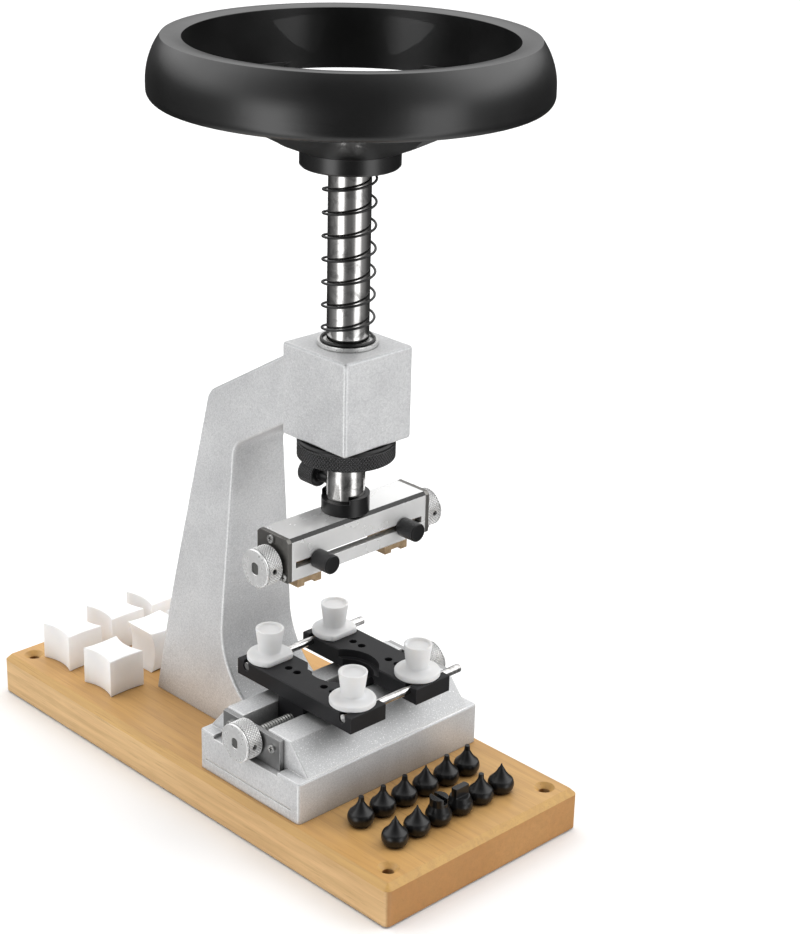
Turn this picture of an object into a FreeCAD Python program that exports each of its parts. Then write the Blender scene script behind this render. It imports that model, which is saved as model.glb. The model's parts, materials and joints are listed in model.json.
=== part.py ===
import FreeCAD, Part
import Sketcher
import math
import os
import re

# Bench opener for screw-back watch cases.
# A C-shaped casting stands on a wooden board. Its head guides a sprung spindle that a handwheel turns and
# presses down. The spindle carries a holder with two brass jaws, and a vise with four nylon pegs grips the
# watch below it. Loose driver tips and nylon rest blocks stand on the board.
#
# Frame: millimetres, +Z up, origin at the bottom centre of the board. The tips are at the -Y end, the
# column is at the +Y end, and both pairs of jaws move along X.

SIZES = {
    # Board
    "board_width": 120.0,
    "board_length": 282.0,
    "board_thick": 21.0,
    "board_corner": 3.0,
    "board_bevel": 2.8,
    "board_foot_bevel": 1.0,
    "bench_hole_x": 49.0,
    "bench_hole_y": 130.0,
    "bench_hole_dia": 5.0,
    "bench_sink_dia": 9.6,
    # Screws that hold the casting down
    "bolt_shank_r": 2.45,
    "bolt_tapped_r": 2.5,
    "bolt_clear_r": 2.75,
    "bolt_head_r": 4.25,
    "bolt_head_high": 4.0,
    "bolt_socket_r": 2.0,
    "bolt_sink_r": 5.0,
    "bolt_sink_deep": 6.0,
    "bolt_end_z": 34.0,
    "bolt_bed_x": 38.0,
    "bolt_bed_front_y": -66.0,
    "bolt_bed_rear_y": -24.0,
    "bolt_foot_front_y": 12.0,
    "bolt_foot_rear_y": 44.0,
    # Bed of the casting
    "bed_top_z": 55.0,
    "bed_half_x": 49.5,
    "bed_front_y": -80.0,
    "bed_rear_y": -12.0,
    "bed_inset_y": 1.0,
    "bed_step_high": 0.5,
    "bed_ridge_front_y": -67.5,
    "bed_ridge_rear_y": -24.5,
    "plinth_half_x": 55.5,
    "plinth_top_z": 41.0,
    "channel_wide": 17.0,
    "channel_floor_z": 42.5,
    "seat_deep": 1.6,
    "seat_front_y": -65.5,
    "seat_rear_y": -21.5,
    "engraved_wide": 0.6,
    "engraved_deep": 0.4,
    "engraved_z": 26.0,
    "engraved_front_y": -74.5,
    "engraved_rear_y": -16.0,
    # Column and arm of the casting
    "foot_half_x": 23.0,
    "foot_taper_z": 50.0,
    "foot_taper_x": 22.2,
    "waist_z": 88.0,
    "waist_x": 20.3,
    "waist_bend_r": 851.2,
    "neck_x": 10.53,
    "foot_rear_y": 62.8,
    "shoulder_y": 31.6,
    "shoulder_z": 182.4,
    "shoulder_r": 9.0,
    "arm_root_y": -30.0,
    "arm_top_z": 219.4,
    "arm_under_z": 186.8,
    "throat_y": 11.2,
    "throat_z": 162.0,
    "throat_r": 9.0,
    "flare_top_y": 13.2,
    "flare_top_z": 72.0,
    "flare_r": 38.8,
    "flare_foot_y": -14.0,
    "flare_foot_z": 34.1,
    "casting_edge_r": 1.5,
    # Head block
    "head_half_x": 19.7,
    "head_half_y": 20.2,
    "head_low_z": 180.4,
    "head_top_z": 222.9,
    # Spindle
    "spindle_y": -47.3,
    "spindle_r": 9.2,
    "spindle_tail_r": 8.6,
    "spindle_low_z": 147.3,
    "spindle_stud_r": 5.0,
    "spindle_stud_top_z": 316.5,
    "socket_r": 5.85,
    "socket_top_z": 169.5,
    "spindle_bevel": 0.5,
    "run_gap": 0.05,
    "cut_past": 1.0,
    # Spring and its washers
    "washer_r": 13.2,
    "lower_washer_thick": 2.0,
    "upper_washer_thick": 1.2,
    "spring_wire_r": 0.55,
    "spring_mean_r": 11.2,
    "spring_turns": 7.3,
    # Handwheel
    "hub_r": 21.3,
    "hub_low_z": 300.7,
    "hub_top_z": 311.0,
    "hub_bevel": 0.8,
    "hub_face_r": 14.0,
    "rim_outer_r": 83.7,
    "rim_outer_z": 336.0,
    "rim_belly_z": 333.0,
    "rim_shoulder_r": 77.6,
    "rim_shoulder_z": 354.2,
    "rim_inner_r": 68.9,
    "rim_top_z": 353.6,
    "rim_foot_r": 81.6,
    "rim_foot_z": 329.2,
    "rim_low_r": 72.0,
    "rim_low_z": 328.6,
    "rim_well_z": 330.5,
    "rim_bulge_r": 30.2,
    "rim_turn_r": 4.5,
    "rim_crown_r": 30.0,
    "web_low_z": 307.7,
    "window_side_angle": 51.0,
    "window_apex_r": 27.4,
    "window_apex_round_r": 6.0,
    "window_corner_r": 7.0,
    "spoke_azimuth": 225.0,
    "nut_flats": 14.0,
    "nut_high": 5.0,
    "nut_flange_r": 10.0,
    "nut_flange_high": 1.5,
    # Stop ring under the head
    "ring_r": 21.8,
    "ring_high": 8.9,
    "ring_bevel": 0.8,
    "ring_foot_bevel": 0.5,
    # Lock screw of the die holder
    "lock_z": 156.5,
    "lock_neck_r": 2.3,
    "lock_knob_r": 5.6,
    "lock_knob_start": 16.7,
    "lock_knob_long": 9.6,
    # Die holder
    "holder_half_x": 42.3,
    "holder_half_y": 10.1,
    "holder_low_z": 125.5,
    "holder_top_z": 145.7,
    "holder_plate_thick": 2.2,
    "holder_bevel": 1.5,
    "holder_foot_bevel": 0.6,
    "holder_screw_rear_y": 0.7,
    "holder_screw_front_y": 7.6,
    "holder_screw_top_in": 2.3,
    "holder_screw_low_in": 2.5,
    "holder_screw_long": 3.5,
    "holder_cavity_half_x": 38.0,
    "holder_cavity_half_y": 6.0,
    "holder_cavity_top_z": 141.2,
    "holder_slot_half_x": 37.8,
    "holder_slot_z": 133.1,
    "holder_slot_high": 3.0,
    "collar_r": 10.75,
    "collar_top_z": 154.0,
    "collar_floor_z": 147.2,
    "collar_slot_z": 151.8,
    "collar_slot_wide": 17.8,
    "collar_slot_azimuth": 181.0,
    "shank_r": 5.8,
    "shank_top_z": 168.5,
    # Lead screw and knobs of the die holder
    "upper_screw_z": 132.4,
    "upper_screw_r": 3.1,
    "upper_journal_r": 2.8,
    "upper_knob_r": 8.8,
    "upper_knob_long": 8.6,
    "upper_knob_gap": 1.6,
    # Brass jaws and their clamp screws
    "brass_inner_x": 19.3,
    "brass_outer_x": 33.0,
    "brass_low_z": 119.4,
    "brass_top_z": 140.9,
    "brass_side_gap": 0.08,
    "brass_notch_long": 6.0,
    "brass_notch_deep": 1.4,
    "clamp_x": 25.7,
    "clamp_head_r": 4.4,
    "clamp_head_long": 10.4,
    "clamp_shank_r": 1.4,
    "clamp_shank_reach": 2.6,
    "clamp_hole_deep": 3.2,
    # Vise lead screw, knobs and end plates
    "vise_y": -44.0,
    "vise_z": 49.0,
    "vise_screw_r": 3.0,
    "vise_journal_r": 2.5,
    "vise_knob_r": 9.2,
    "vise_knob_long": 8.8,
    "vise_knob_gap": 0.9,
    "knob_bevel": 0.5,
    "knob_key_gap": 0.02,
    "knob_end_in": 0.6,
    "flat_part": 0.75,
    "grub_r": 1.3,
    "grub_recess": 1.6,
    "end_plate_thick": 2.6,
    "end_plate_half_y": 19.3,
    "end_plate_top_z": 54.4,
    "end_screw_offset": 14.4,
    "end_screw_long": 9.0,
    "small_screw_r": 1.1,
    "small_head_r": 1.9,
    "small_head_high": 1.1,
    "recess_half_long": 1.2,
    "recess_half_wide": 0.28,
    "recess_deep": 0.7,
    # Vise jaws
    "jaw_inner_x": 9.5,
    "jaw_outer_x": 30.5,
    "jaw_half_y": 38.35,
    "jaw_low_z": 59.3,
    "jaw_top_z": 67.4,
    "jaw_bevel": 0.5,
    "jaw_screw_offset": 5.2,
    "jaw_screw_reach": 4.5,
    "jaw_screw_hole": 5.0,
    "jaw_sink_deep": 2.0,
    "jaw_sink_gap": 0.2,
    "jaw_head_in": 0.4,
    "jaw_notch_r": 16.5,
    "jaw_step_r": 14.2,
    "jaw_step_z": 63.6,
    "peg_hole_r": 1.9,
    "peg_hole_near": 9.1,
    "peg_hole_far": 15.0,
    "slide_low_z": 42.6,
    "slide_inner_x": 11.0,
    "slide_outer_x": 29.0,
    "slide_side_gap": 0.08,
    "guide_r": 2.0,
    "guide_z": 64.6,
    "guide_offset_y": 32.6,
    "guide_end_x": 42.0,
    "guide_root_in": 0.5,
    "guide_grip_gap": 0.02,
    "guide_slot_wide": 3.4,
    # Nylon pegs
    "peg_x": 20.0,
    "peg_offset_y": 28.0,
    "peg_flange_r": 10.5,
    "peg_flange_high": 3.3,
    "peg_post_low_r": 4.9,
    "peg_post_top_r": 6.6,
    "peg_post_high": 12.2,
    "peg_cup_r": 5.6,
    "peg_cup_floor_r": 4.8,
    "peg_cup_deep": 1.2,
    "peg_shank_r": 1.85,
    "peg_shank_long": 6.0,
    "peg_flat": 7.6,
    # Driver tips
    "tip_pitch_x": 13.25,
    "tip_first_x": -34.2,
    "tip_back_y": -97.0,
    "tip_front_y": -118.6,
    "tip_foot_r": 3.9,
    "tip_belly_arc": 4.6,
    "tip_shoulder_r": 5.3,
    "tip_shoulder_z": 6.4,
    "tip_flank_arc": 14.0,
    "tip_neck_r": 1.4,
    "tip_neck_z": 11.6,
    "tip_point_r": 0.25,
    "tip_point_arc": 5.0,
    "tip_pin_r": 1.15,
    "tip_high": 14.0,
    "crown_low_z": 9.0,
    "crown_top_z": 13.0,
    "crown_r": 4.2,
    "crown_slot_half": 1.1,
    "crown_slot_deep": 2.6,
    "chisel_half": 1.6,
    "chisel_deep": 4.6,
    "tip_shank_r": 1.95,
    "tip_shank_long": 7.0,
    "tip_socket_r": 2.0,
    "tip_socket_deep": 8.0,
    # Nylon rest blocks
    "block_wide": 20.0,
    "block_long": 21.5,
    "block_high": 19.0,
    "block_scoop_r": 25.0,
    "block_dish_r": 72.0,
}

# Spokes of the handwheel, and as many windows
SPOKES = 3

# Name and sign of each side along X
SIDES = (("left", "-"), ("right", ""))

doc = FreeCAD.newDocument("case_opener")
sheet = doc.addObject("Spreadsheet::Sheet", "Sizes")
for row, (size_name, size_value) in enumerate(SIZES.items(), start=1):
    sheet.set(f"A{row}", size_name)
    sheet.set(f"B{row}", str(size_value))
    sheet.setAlias(f"B{row}", size_name)
doc.recompute()

SUBPARTS = []


# ---- sizes and expressions -------------------------------------------------------------------------


def formula(text):
    """A size expression as the document reads it: every name of the sheet gets the sheet's prefix."""
    return re.sub(r"[a-z]+(?:_[a-z]+)+", lambda found: "Sizes." + found.group(0), str(text))


def number(text):
    """The present value of a size expression."""
    return float(sheet.evalExpression(formula(text)))


def bind(item, **properties):
    """Bind properties of an object to size expressions."""
    for name, text in properties.items():
        item.setExpression(name, formula(text))
    return item


def place(item, x="0", y="0", z="0", turn=0.0, axis=(0, 0, 1)):
    """Put an object at a point given by size expressions, turned by degrees about an axis."""
    point = FreeCAD.Vector(number(x), number(y), number(z))
    item.Placement = FreeCAD.Placement(point, FreeCAD.Rotation(FreeCAD.Vector(*axis), turn))
    for letter, text in zip("xyz", (x, y, z)):
        item.setExpression("Placement.Base." + letter, formula(text))
    return item


def subpart(item, name):
    """Name a finished sub-part; its label is also its file name."""
    item.Label = name
    SUBPARTS.append(item)
    return item


# ---- primitives and booleans -----------------------------------------------------------------------


def rod(name, radius, start, end, direction="z", x="0", y="0", z="0"):
    """Cylinder between two coordinates, along X, Y or Z, about the line through (x, y, z)."""
    item = bind(doc.addObject("Part::Cylinder", name), Radius=radius, Height=f"({end}) - ({start})")
    if direction == "z":
        return place(item, x, y, start)
    if direction == "x":
        return place(item, start, y, z, 90, (0, 1, 0))
    return place(item, x, start, z, -90, (1, 0, 0))


def cone(name, low_radius, top_radius, start, end, x="0", y="0"):
    """Upright cone frustum between two heights."""
    item = doc.addObject("Part::Cone", name)
    bind(item, Radius1=low_radius, Radius2=top_radius, Height=f"({end}) - ({start})")
    return place(item, x, y, start)


def block(name, x_low, x_high, y_low, y_high, z_low, z_high):
    """Box between two corners given by size expressions."""
    item = doc.addObject("Part::Box", name)
    bind(item, Length=f"({x_high}) - ({x_low})", Width=f"({y_high}) - ({y_low})")
    bind(item, Height=f"({z_high}) - ({z_low})")
    return place(item, x_low, y_low, z_low)


def fuse(name, items):
    """One solid from several touching ones."""
    item = doc.addObject("Part::MultiFuse", name)
    item.Shapes = items
    return item


def cut(name, base, tools):
    """The base with every tool taken out of it."""
    tool = tools[0] if len(tools) == 1 else fuse(name + "_tools", tools)
    item = doc.addObject("Part::Cut", name)
    item.Base = base
    item.Tool = tool
    return item


def overlap(name, first, second):
    """What two solids have in common."""
    item = doc.addObject("Part::Common", name)
    item.Base = first
    item.Tool = second
    return item


def group(name, items):
    """Several separate solids in one sub-part."""
    item = doc.addObject("Part::Compound", name)
    item.Links = items
    return item


# ---- sketches and part design features ---------------------------------------------------------------


def new_body(name, y="0"):
    """An empty body whose own axis stands at a given Y."""
    return place(doc.addObject("PartDesign::Body", name), "0", y, "0")


def new_sketch(body, plane, name, offset="0", turn=0.0):
    """A sketch on one of the body's origin planes, moved along its normal and turned by degrees about it."""
    sketch = body.newObject("Sketcher::SketchObject", name)
    support = [item for item in body.Origin.OriginFeatures if item.Role == plane]
    sketch.AttachmentSupport = [(support[0], "")]
    sketch.MapMode = "FlatFace"
    turned_by = FreeCAD.Rotation(FreeCAD.Vector(0, 0, 1), turn)
    sketch.AttachmentOffset = FreeCAD.Placement(FreeCAD.Vector(0, 0, number(offset)), turned_by)
    sketch.setExpression("AttachmentOffset.Base.z", formula(offset))
    return sketch


def fix(sketch, kind, geometry, point, text):
    """Bind one coordinate of a sketch point, measured from the sketch's origin."""
    index = sketch.addConstraint(Sketcher.Constraint(kind, -1, 1, geometry, point, number(text)))
    sketch.setExpression(f"Constraints[{index}]", formula(text))


def fix_radius(sketch, geometry, text):
    """Bind the radius of a circle or an arc."""
    index = sketch.addConstraint(Sketcher.Constraint("Radius", geometry, number(text)))
    sketch.setExpression(f"Constraints[{index}]", formula(text))


def add_circle(sketch, x, y, radius):
    """A circle with a bound centre and radius."""
    centre = FreeCAD.Vector(number(x), number(y), 0)
    ring = Part.Circle(centre, FreeCAD.Vector(0, 0, 1), number(radius))
    geometry = sketch.addGeometry(ring, False)
    fix(sketch, "DistanceX", geometry, 3, x)
    fix(sketch, "DistanceY", geometry, 3, y)
    fix_radius(sketch, geometry, radius)


def arc_between(start, end, radius):
    """The short arc from start to end; a positive radius bulges to the right of the way there."""
    chord = end - start
    half = chord.Length / 2
    left = FreeCAD.Vector(-chord.y, chord.x, 0).normalize()
    reach = math.sqrt(radius * radius - half * half)
    centre = (start + end) * 0.5 + left * math.copysign(reach, radius)
    from_start = math.atan2(start.y - centre.y, start.x - centre.x)
    from_end = math.atan2(end.y - centre.y, end.x - centre.x)
    ring = Part.Circle(centre, FreeCAD.Vector(0, 0, 1), abs(radius))
    if radius > 0:
        return Part.ArcOfCircle(ring, from_start, from_end)
    return Part.ArcOfCircle(ring, from_end, from_start)


def add_outline(sketch, corners):
    """A closed outline. A corner is (x, y), or (x, y, radius) where the side that follows is an arc."""
    points = [FreeCAD.Vector(number(corner[0]), number(corner[1]), 0) for corner in corners]
    sides = []
    for index, corner in enumerate(corners):
        start = points[index]
        end = points[(index + 1) % len(corners)]
        if len(corner) == 2:
            side = sketch.addGeometry(Part.LineSegment(start, end), False)
            sides.append((side, 1, 2))
            continue
        radius = number(corner[2])
        side = sketch.addGeometry(arc_between(start, end, radius), False)
        sides.append((side, 1, 2) if radius > 0 else (side, 2, 1))
    for index, (side, first, last) in enumerate(sides):
        following, following_first, _ = sides[(index + 1) % len(sides)]
        sketch.addConstraint(Sketcher.Constraint("Coincident", side, last, following, following_first))
    for (side, first, _), corner in zip(sides, corners):
        fix(sketch, "DistanceX", side, first, corner[0])
        fix(sketch, "DistanceY", side, first, corner[1])
        if len(corner) == 3:
            fix_radius(sketch, side, corner[2].lstrip("-"))


def rectangle(x_low, x_high, y_low, y_high):
    """Corners of a rectangle."""
    return [(x_low, y_low), (x_high, y_low), (x_high, y_high), (x_low, y_high)]


def pad(body, sketch, name, length, symmetric=False):
    """Material added along the sketch's normal."""
    feature = bind(body.newObject("PartDesign::Pad", name), Length=length)
    feature.Profile = sketch
    feature.SideType = "Symmetric" if symmetric else "One side"
    doc.recompute()
    return feature


def pocket(body, sketch, name, depth, symmetric=False, upward=False):
    """Material removed from the sketch; the volume has to go down."""
    before = body.Shape.Volume
    feature = bind(body.newObject("PartDesign::Pocket", name), Length=depth)
    feature.Profile = sketch
    feature.SideType = "Symmetric" if symmetric else "One side"
    feature.Reversed = upward
    doc.recompute()
    if not body.Shape.Volume < before:
        raise RuntimeError(name + " removed nothing")
    return feature


def turned(body, name, corners):
    """A solid of revolution about the body's own Z axis; corners are (radius, height)."""
    sketch = new_sketch(body, "XZ_Plane", name + "_profile")
    add_outline(sketch, corners)
    feature = body.newObject("PartDesign::Revolution", name)
    feature.Profile = sketch
    feature.ReferenceAxis = (sketch, ["V_Axis"])
    feature.Angle = 360.0
    doc.recompute()
    return feature


def edges_of(feature, wanted):
    """Names of the edges that pass a test on their two end points."""
    names = []
    for index, edge in enumerate(feature.Shape.Edges, start=1):
        ends = [vertex.Point for vertex in edge.Vertexes]
        if len(ends) == 2 and wanted(ends[0], ends[1]):
            names.append(f"Edge{index}")
    return names


def dress(body, kind, name, edges, size):
    """Round (Fillet) or bevel (Chamfer) edges of the body's last feature."""
    base = body.Tip
    feature = body.newObject("PartDesign::" + kind, name)
    feature.Base = (base, edges)
    bind(feature, **{"Radius" if kind == "Fillet" else "Size": size})
    doc.recompute()
    return feature


def is_upright(start, end):
    """True for an edge along Z."""
    return abs(start.x - end.x) < 1e-6 and abs(start.y - end.y) < 1e-6


def is_across(start, end):
    """True for an edge along X."""
    return abs(start.y - end.y) < 1e-6 and abs(start.z - end.z) < 1e-6


def both_at(coordinate, level):
    """A test for edges that lie at one level of x, y or z."""
    limit = number(level)

    def wanted(start, end):
        return all(abs(getattr(point, coordinate) - limit) < 1e-6 for point in (start, end))

    return wanted


def any_edge(start, end):
    """True for every edge."""
    return True


# ---- board and casting -------------------------------------------------------------------------------


def tip_positions():
    """Size expressions for the places of the twelve tips, back row first."""
    columns = [f"tip_first_x + {column} * tip_pitch_x" for column in range(6)]
    return [(x, y) for y in ("tip_back_y", "tip_front_y") for x in columns]


def bolt_positions():
    """Size expressions for the places of the screws that hold the casting."""
    bed = [(side + "bolt_bed_x", y) for side in ("", "-") for y in ("bolt_bed_front_y", "bolt_bed_rear_y")]
    return bed + [("0", "bolt_foot_front_y"), ("0", "bolt_foot_rear_y")]


def make_base_board():
    """Varnished board with four countersunk bench holes and twelve sockets for the tips."""
    body = new_body("base_board")
    outline = new_sketch(body, "XY_Plane", "board_outline")
    half_x = "board_width / 2"
    half_y = "board_length / 2"
    add_outline(outline, rectangle("-" + half_x, half_x, "-" + half_y, half_y))
    blank = pad(body, outline, "board_blank", "board_thick")
    corners = dress(body, "Fillet", "board_corners", edges_of(blank, is_upright), "board_corner")
    top_edges = edges_of(corners, both_at("z", "board_thick"))
    bevel = dress(body, "Chamfer", "board_top_bevel", top_edges, "board_bevel")
    dress(body, "Chamfer", "board_foot_edge", edges_of(bevel, both_at("z", "0")), "board_foot_bevel")

    bench = new_sketch(body, "XY_Plane", "bench_holes_sketch", "board_thick")
    for side_x in ("", "-"):
        for side_y in ("", "-"):
            add_circle(bench, side_x + "bench_hole_x", side_y + "bench_hole_y", "bench_hole_dia / 2")
    doc.recompute()
    holes = body.newObject("PartDesign::Hole", "bench_holes")
    holes.Profile = bench
    holes.DepthType = "ThroughAll"
    holes.HoleCutType = "Countersink"
    bind(holes, Diameter="bench_hole_dia", HoleCutDiameter="bench_sink_dia")
    holes.HoleCutCountersinkAngle = 90.0

    sockets = new_sketch(body, "XY_Plane", "tip_sockets_sketch", "board_thick")
    for x, y in tip_positions():
        add_circle(sockets, x, y, "tip_socket_r")
    pocket(body, sockets, "tip_sockets", "tip_socket_deep")

    shanks = new_sketch(body, "XY_Plane", "bolt_holes_sketch")
    heads = new_sketch(body, "XY_Plane", "bolt_sinks_sketch")
    for x, y in bolt_positions():
        add_circle(shanks, x, y, "bolt_clear_r")
        add_circle(heads, x, y, "bolt_sink_r")
    pocket(body, shanks, "bolt_holes", "board_thick", upward=True)
    pocket(body, heads, "bolt_sinks", "bolt_sink_deep", upward=True)
    subpart(body, "base_board")


def make_column():
    """Tapered column and sloping arm of the casting."""
    body = new_body("column_blank")
    side = new_sketch(body, "YZ_Plane", "column_side")
    add_outline(
        side,
        [
            ("flare_foot_y", "board_thick"),
            ("foot_rear_y", "board_thick"),
            ("shoulder_y", "shoulder_z"),
            ("arm_root_y", "arm_top_z"),
            ("arm_root_y", "arm_under_z"),
            ("throat_y", "throat_z"),
            ("flare_top_y", "flare_top_z", "-flare_r"),
            ("flare_foot_y", "flare_foot_z"),
        ],
    )
    pad(body, side, "column_pad", "2 * foot_half_x", symmetric=True)
    front = new_sketch(body, "XZ_Plane", "column_taper_sketch")
    beyond = "foot_half_x + cut_past"
    below = "board_thick - cut_past"
    add_outline(
        front,
        [
            ("foot_half_x", below),
            (beyond, below),
            (beyond, "head_top_z"),
            ("neck_x", "head_top_z"),
            ("waist_x", "waist_z", "-waist_bend_r"),
            ("foot_taper_x", "foot_taper_z"),
        ],
    )
    add_outline(
        front,
        [
            ("-foot_half_x", below),
            ("-foot_taper_x", "foot_taper_z", "-waist_bend_r"),
            ("-waist_x", "waist_z"),
            ("-neck_x", "head_top_z"),
            (f"-({beyond})", "head_top_z"),
            (f"-({beyond})", below),
        ],
    )
    tapered = pocket(body, front, "column_taper", "2 * foot_rear_y + cut_past", symmetric=True)
    shoulder = number("shoulder_z")
    throat = number("throat_z")

    def is_shoulder(start, end):
        return is_across(start, end) and abs(start.z - shoulder) < 1e-6

    def is_throat(start, end):
        return is_across(start, end) and abs(start.z - throat) < 1e-6

    rounded = dress(body, "Fillet", "shoulder_round", edges_of(tapered, is_shoulder), "shoulder_r")
    rounded = dress(body, "Fillet", "throat_round", edges_of(rounded, is_throat), "throat_r")
    floor = number("board_thick")
    root = number("arm_root_y")
    plinth_rear = number("flare_foot_y")

    def is_long_edge(start, end):
        ends = (start, end)
        at_floor = all(abs(point.z - floor) < 1e-6 for point in ends)
        at_root = all(abs(point.y - root) < 1e-6 for point in ends)
        at_plinth = all(abs(point.y - plinth_rear) < 1e-6 for point in ends)
        same_side = start.x * end.x > 0
        middle = (start + end) * 0.5
        level = abs(start.z - end.z) < 1e-6 and abs(start.y - end.y) > 2
        return same_side and not (at_floor or at_root or at_plinth or level) and middle.z > floor

    dress(body, "Fillet", "column_edges", edges_of(rounded, is_long_edge), "casting_edge_r")
    return body


def make_head():
    """Square head block that guides the spindle."""
    body = new_body("head_blank", "spindle_y")
    plan = new_sketch(body, "XY_Plane", "head_plan", "head_low_z")
    add_outline(plan, rectangle("-head_half_x", "head_half_x", "-head_half_y", "head_half_y"))
    blank = pad(body, plan, "head_pad", "head_top_z - head_low_z")
    dress(body, "Fillet", "head_edges", edges_of(blank, any_edge), "casting_edge_r")
    return body


def make_bed():
    """Plinth and roof-shaped bed that carry the vise."""
    plinth = new_body("plinth_blank")
    side = new_sketch(plinth, "YZ_Plane", "plinth_side")
    add_outline(side, rectangle("bed_front_y", "bed_rear_y", "board_thick", "plinth_top_z"))
    blank = pad(plinth, side, "plinth_pad", "2 * plinth_half_x", symmetric=True)
    upright = dress(plinth, "Fillet", "plinth_corners", edges_of(blank, is_upright), "casting_edge_r")
    top = both_at("z", "plinth_top_z")
    dress(plinth, "Fillet", "plinth_top_edges", edges_of(upright, top), "casting_edge_r / 2")

    bed = new_body("bed_blank")
    roof = new_sketch(bed, "YZ_Plane", "bed_side")
    add_outline(
        roof,
        [
            ("bed_front_y + bed_inset_y", "board_thick"),
            ("bed_rear_y - bed_inset_y", "board_thick"),
            ("bed_rear_y - bed_inset_y", "plinth_top_z + bed_step_high"),
            ("bed_ridge_rear_y", "bed_top_z"),
            ("bed_ridge_front_y", "bed_top_z"),
            ("bed_front_y + bed_inset_y", "plinth_top_z + bed_step_high"),
        ],
    )
    blank = pad(bed, roof, "bed_pad", "2 * bed_half_x", symmetric=True)
    level = number("(plinth_top_z + bed_top_z) / 2")

    def is_exposed(start, end):
        return max(start.z, end.z) > level

    dress(bed, "Fillet", "bed_edges", edges_of(blank, is_exposed), "casting_edge_r / 2")
    return [plinth, bed]


def make_frame_casting():
    """Bed, column, arm and head in one casting, with its machined channel, bore and tapped holes."""
    blank = fuse("casting_blank", make_bed() + [make_column(), make_head()])
    far = "plinth_half_x + cut_past"
    front = "vise_y - channel_wide / 2"
    rear = "vise_y + channel_wide / 2"
    line_inner = "-plinth_half_x + engraved_deep"
    line_top = "engraved_z + engraved_wide"
    hole_low = "board_thick - cut_past"
    hole_top = "bolt_end_z + cut_past"
    bore = ("head_low_z - cut_past", "head_top_z + cut_past")
    line = ("engraved_front_y", "engraved_rear_y", "engraved_z", line_top)
    tools = [
        block("foot_trim", f"-({far})", far, "-board_length / 2", "board_length / 2", "0", "board_thick"),
        block("vise_channel", f"-({far})", far, front, rear, "channel_floor_z", "bed_top_z + cut_past"),
        rod("spindle_bore", "spindle_r + run_gap", *bore, y="spindle_y"),
        block("engraved_line", f"-({far})", line_inner, *line),
    ]
    seat_floor = "plinth_top_z - seat_deep"
    seat_roof = "plinth_top_z + cut_past"
    for side, low, high in (("left", f"-({far})", "-bed_half_x"), ("right", "bed_half_x", far)):
        tools.append(block("seat_" + side, low, high, "seat_front_y", "seat_rear_y", seat_floor, seat_roof))
    for index, (x, y) in enumerate(bolt_positions()):
        tools.append(rod(f"tapped_hole_{index}", "bolt_tapped_r", hole_low, hole_top, x=x, y=y))
    for side, low, high in (
        ("left", f"-({far})", "-bed_half_x + end_screw_long"),
        ("right", "bed_half_x - end_screw_long", far),
    ):
        for index, y in enumerate(end_screw_ys()):
            name = f"{side}_plate_hole_{index}"
            tools.append(rod(name, "small_screw_r + run_gap", low, high, "x", y=y, z="vise_z"))
    subpart(cut("frame_casting", blank, tools), "frame_casting")


def end_screw_ys():
    """Size expressions for the Y of the two screws in each of the vise's end plates."""
    return ("vise_y - end_screw_offset", "vise_y + end_screw_offset")


def make_frame_bolts():
    """Cap screws that come up through the board into the casting."""
    bolts = []
    for index, (x, y) in enumerate(bolt_positions()):
        head_low = "bolt_sink_deep - bolt_head_high"
        socket_top = "bolt_sink_deep - bolt_head_high / 2"
        head = rod(f"bolt_head_{index}", "bolt_head_r", head_low, "bolt_sink_deep", x=x, y=y)
        shank = rod(f"bolt_shank_{index}", "bolt_shank_r", "bolt_sink_deep", "bolt_end_z", x=x, y=y)
        socket = rod(f"bolt_socket_{index}", "bolt_socket_r", head_low, socket_top, x=x, y=y)
        bolts.append(cut(f"bolt_{index}", fuse(f"bolt_blank_{index}", [head, shank]), [socket]))
    subpart(group("frame_bolts", bolts), "frame_bolts")


# ---- spindle, spring and handwheel -------------------------------------------------------------------


def make_washers():
    """Spring seat on the head and thrust washer under the wheel's hub."""
    for name, low, thick in (
        ("lower_spring_washer", "head_top_z", "lower_washer_thick"),
        ("upper_spring_washer", "hub_low_z - upper_washer_thick", "upper_washer_thick"),
    ):
        top = f"{low} + {thick}"
        disc = rod(name + "_disc", "washer_r", low, top, y="spindle_y")
        past = (low + " - cut_past", top + " + cut_past")
        hole = rod(name + "_hole", "spindle_r + run_gap", *past, y="spindle_y")
        subpart(cut(name, disc, [hole]), name)


def make_spring():
    """Open-wound compression spring between the two washers."""
    low = "head_top_z + lower_washer_thick + spring_wire_r"
    high = "hub_low_z - upper_washer_thick - spring_wire_r"
    helix = doc.addObject("Part::Helix", "spring_helix")
    height = f"({high} - ({low}))"
    bind(helix, Pitch=height + " / spring_turns", Height=height, Radius="spring_mean_r")
    wire = doc.addObject("Part::Circle", "spring_section")
    bind(wire, Radius="spring_wire_r")
    place(wire, "spring_mean_r", "0", "0", 90, (1, 0, 0))
    spring = doc.addObject("Part::Sweep", "return_spring")
    spring.Sections = [wire]
    spring.Spine = (helix, [])
    spring.Solid = True
    spring.Frenet = True
    place(spring, "0", "spindle_y", low)
    subpart(spring, "return_spring")


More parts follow.
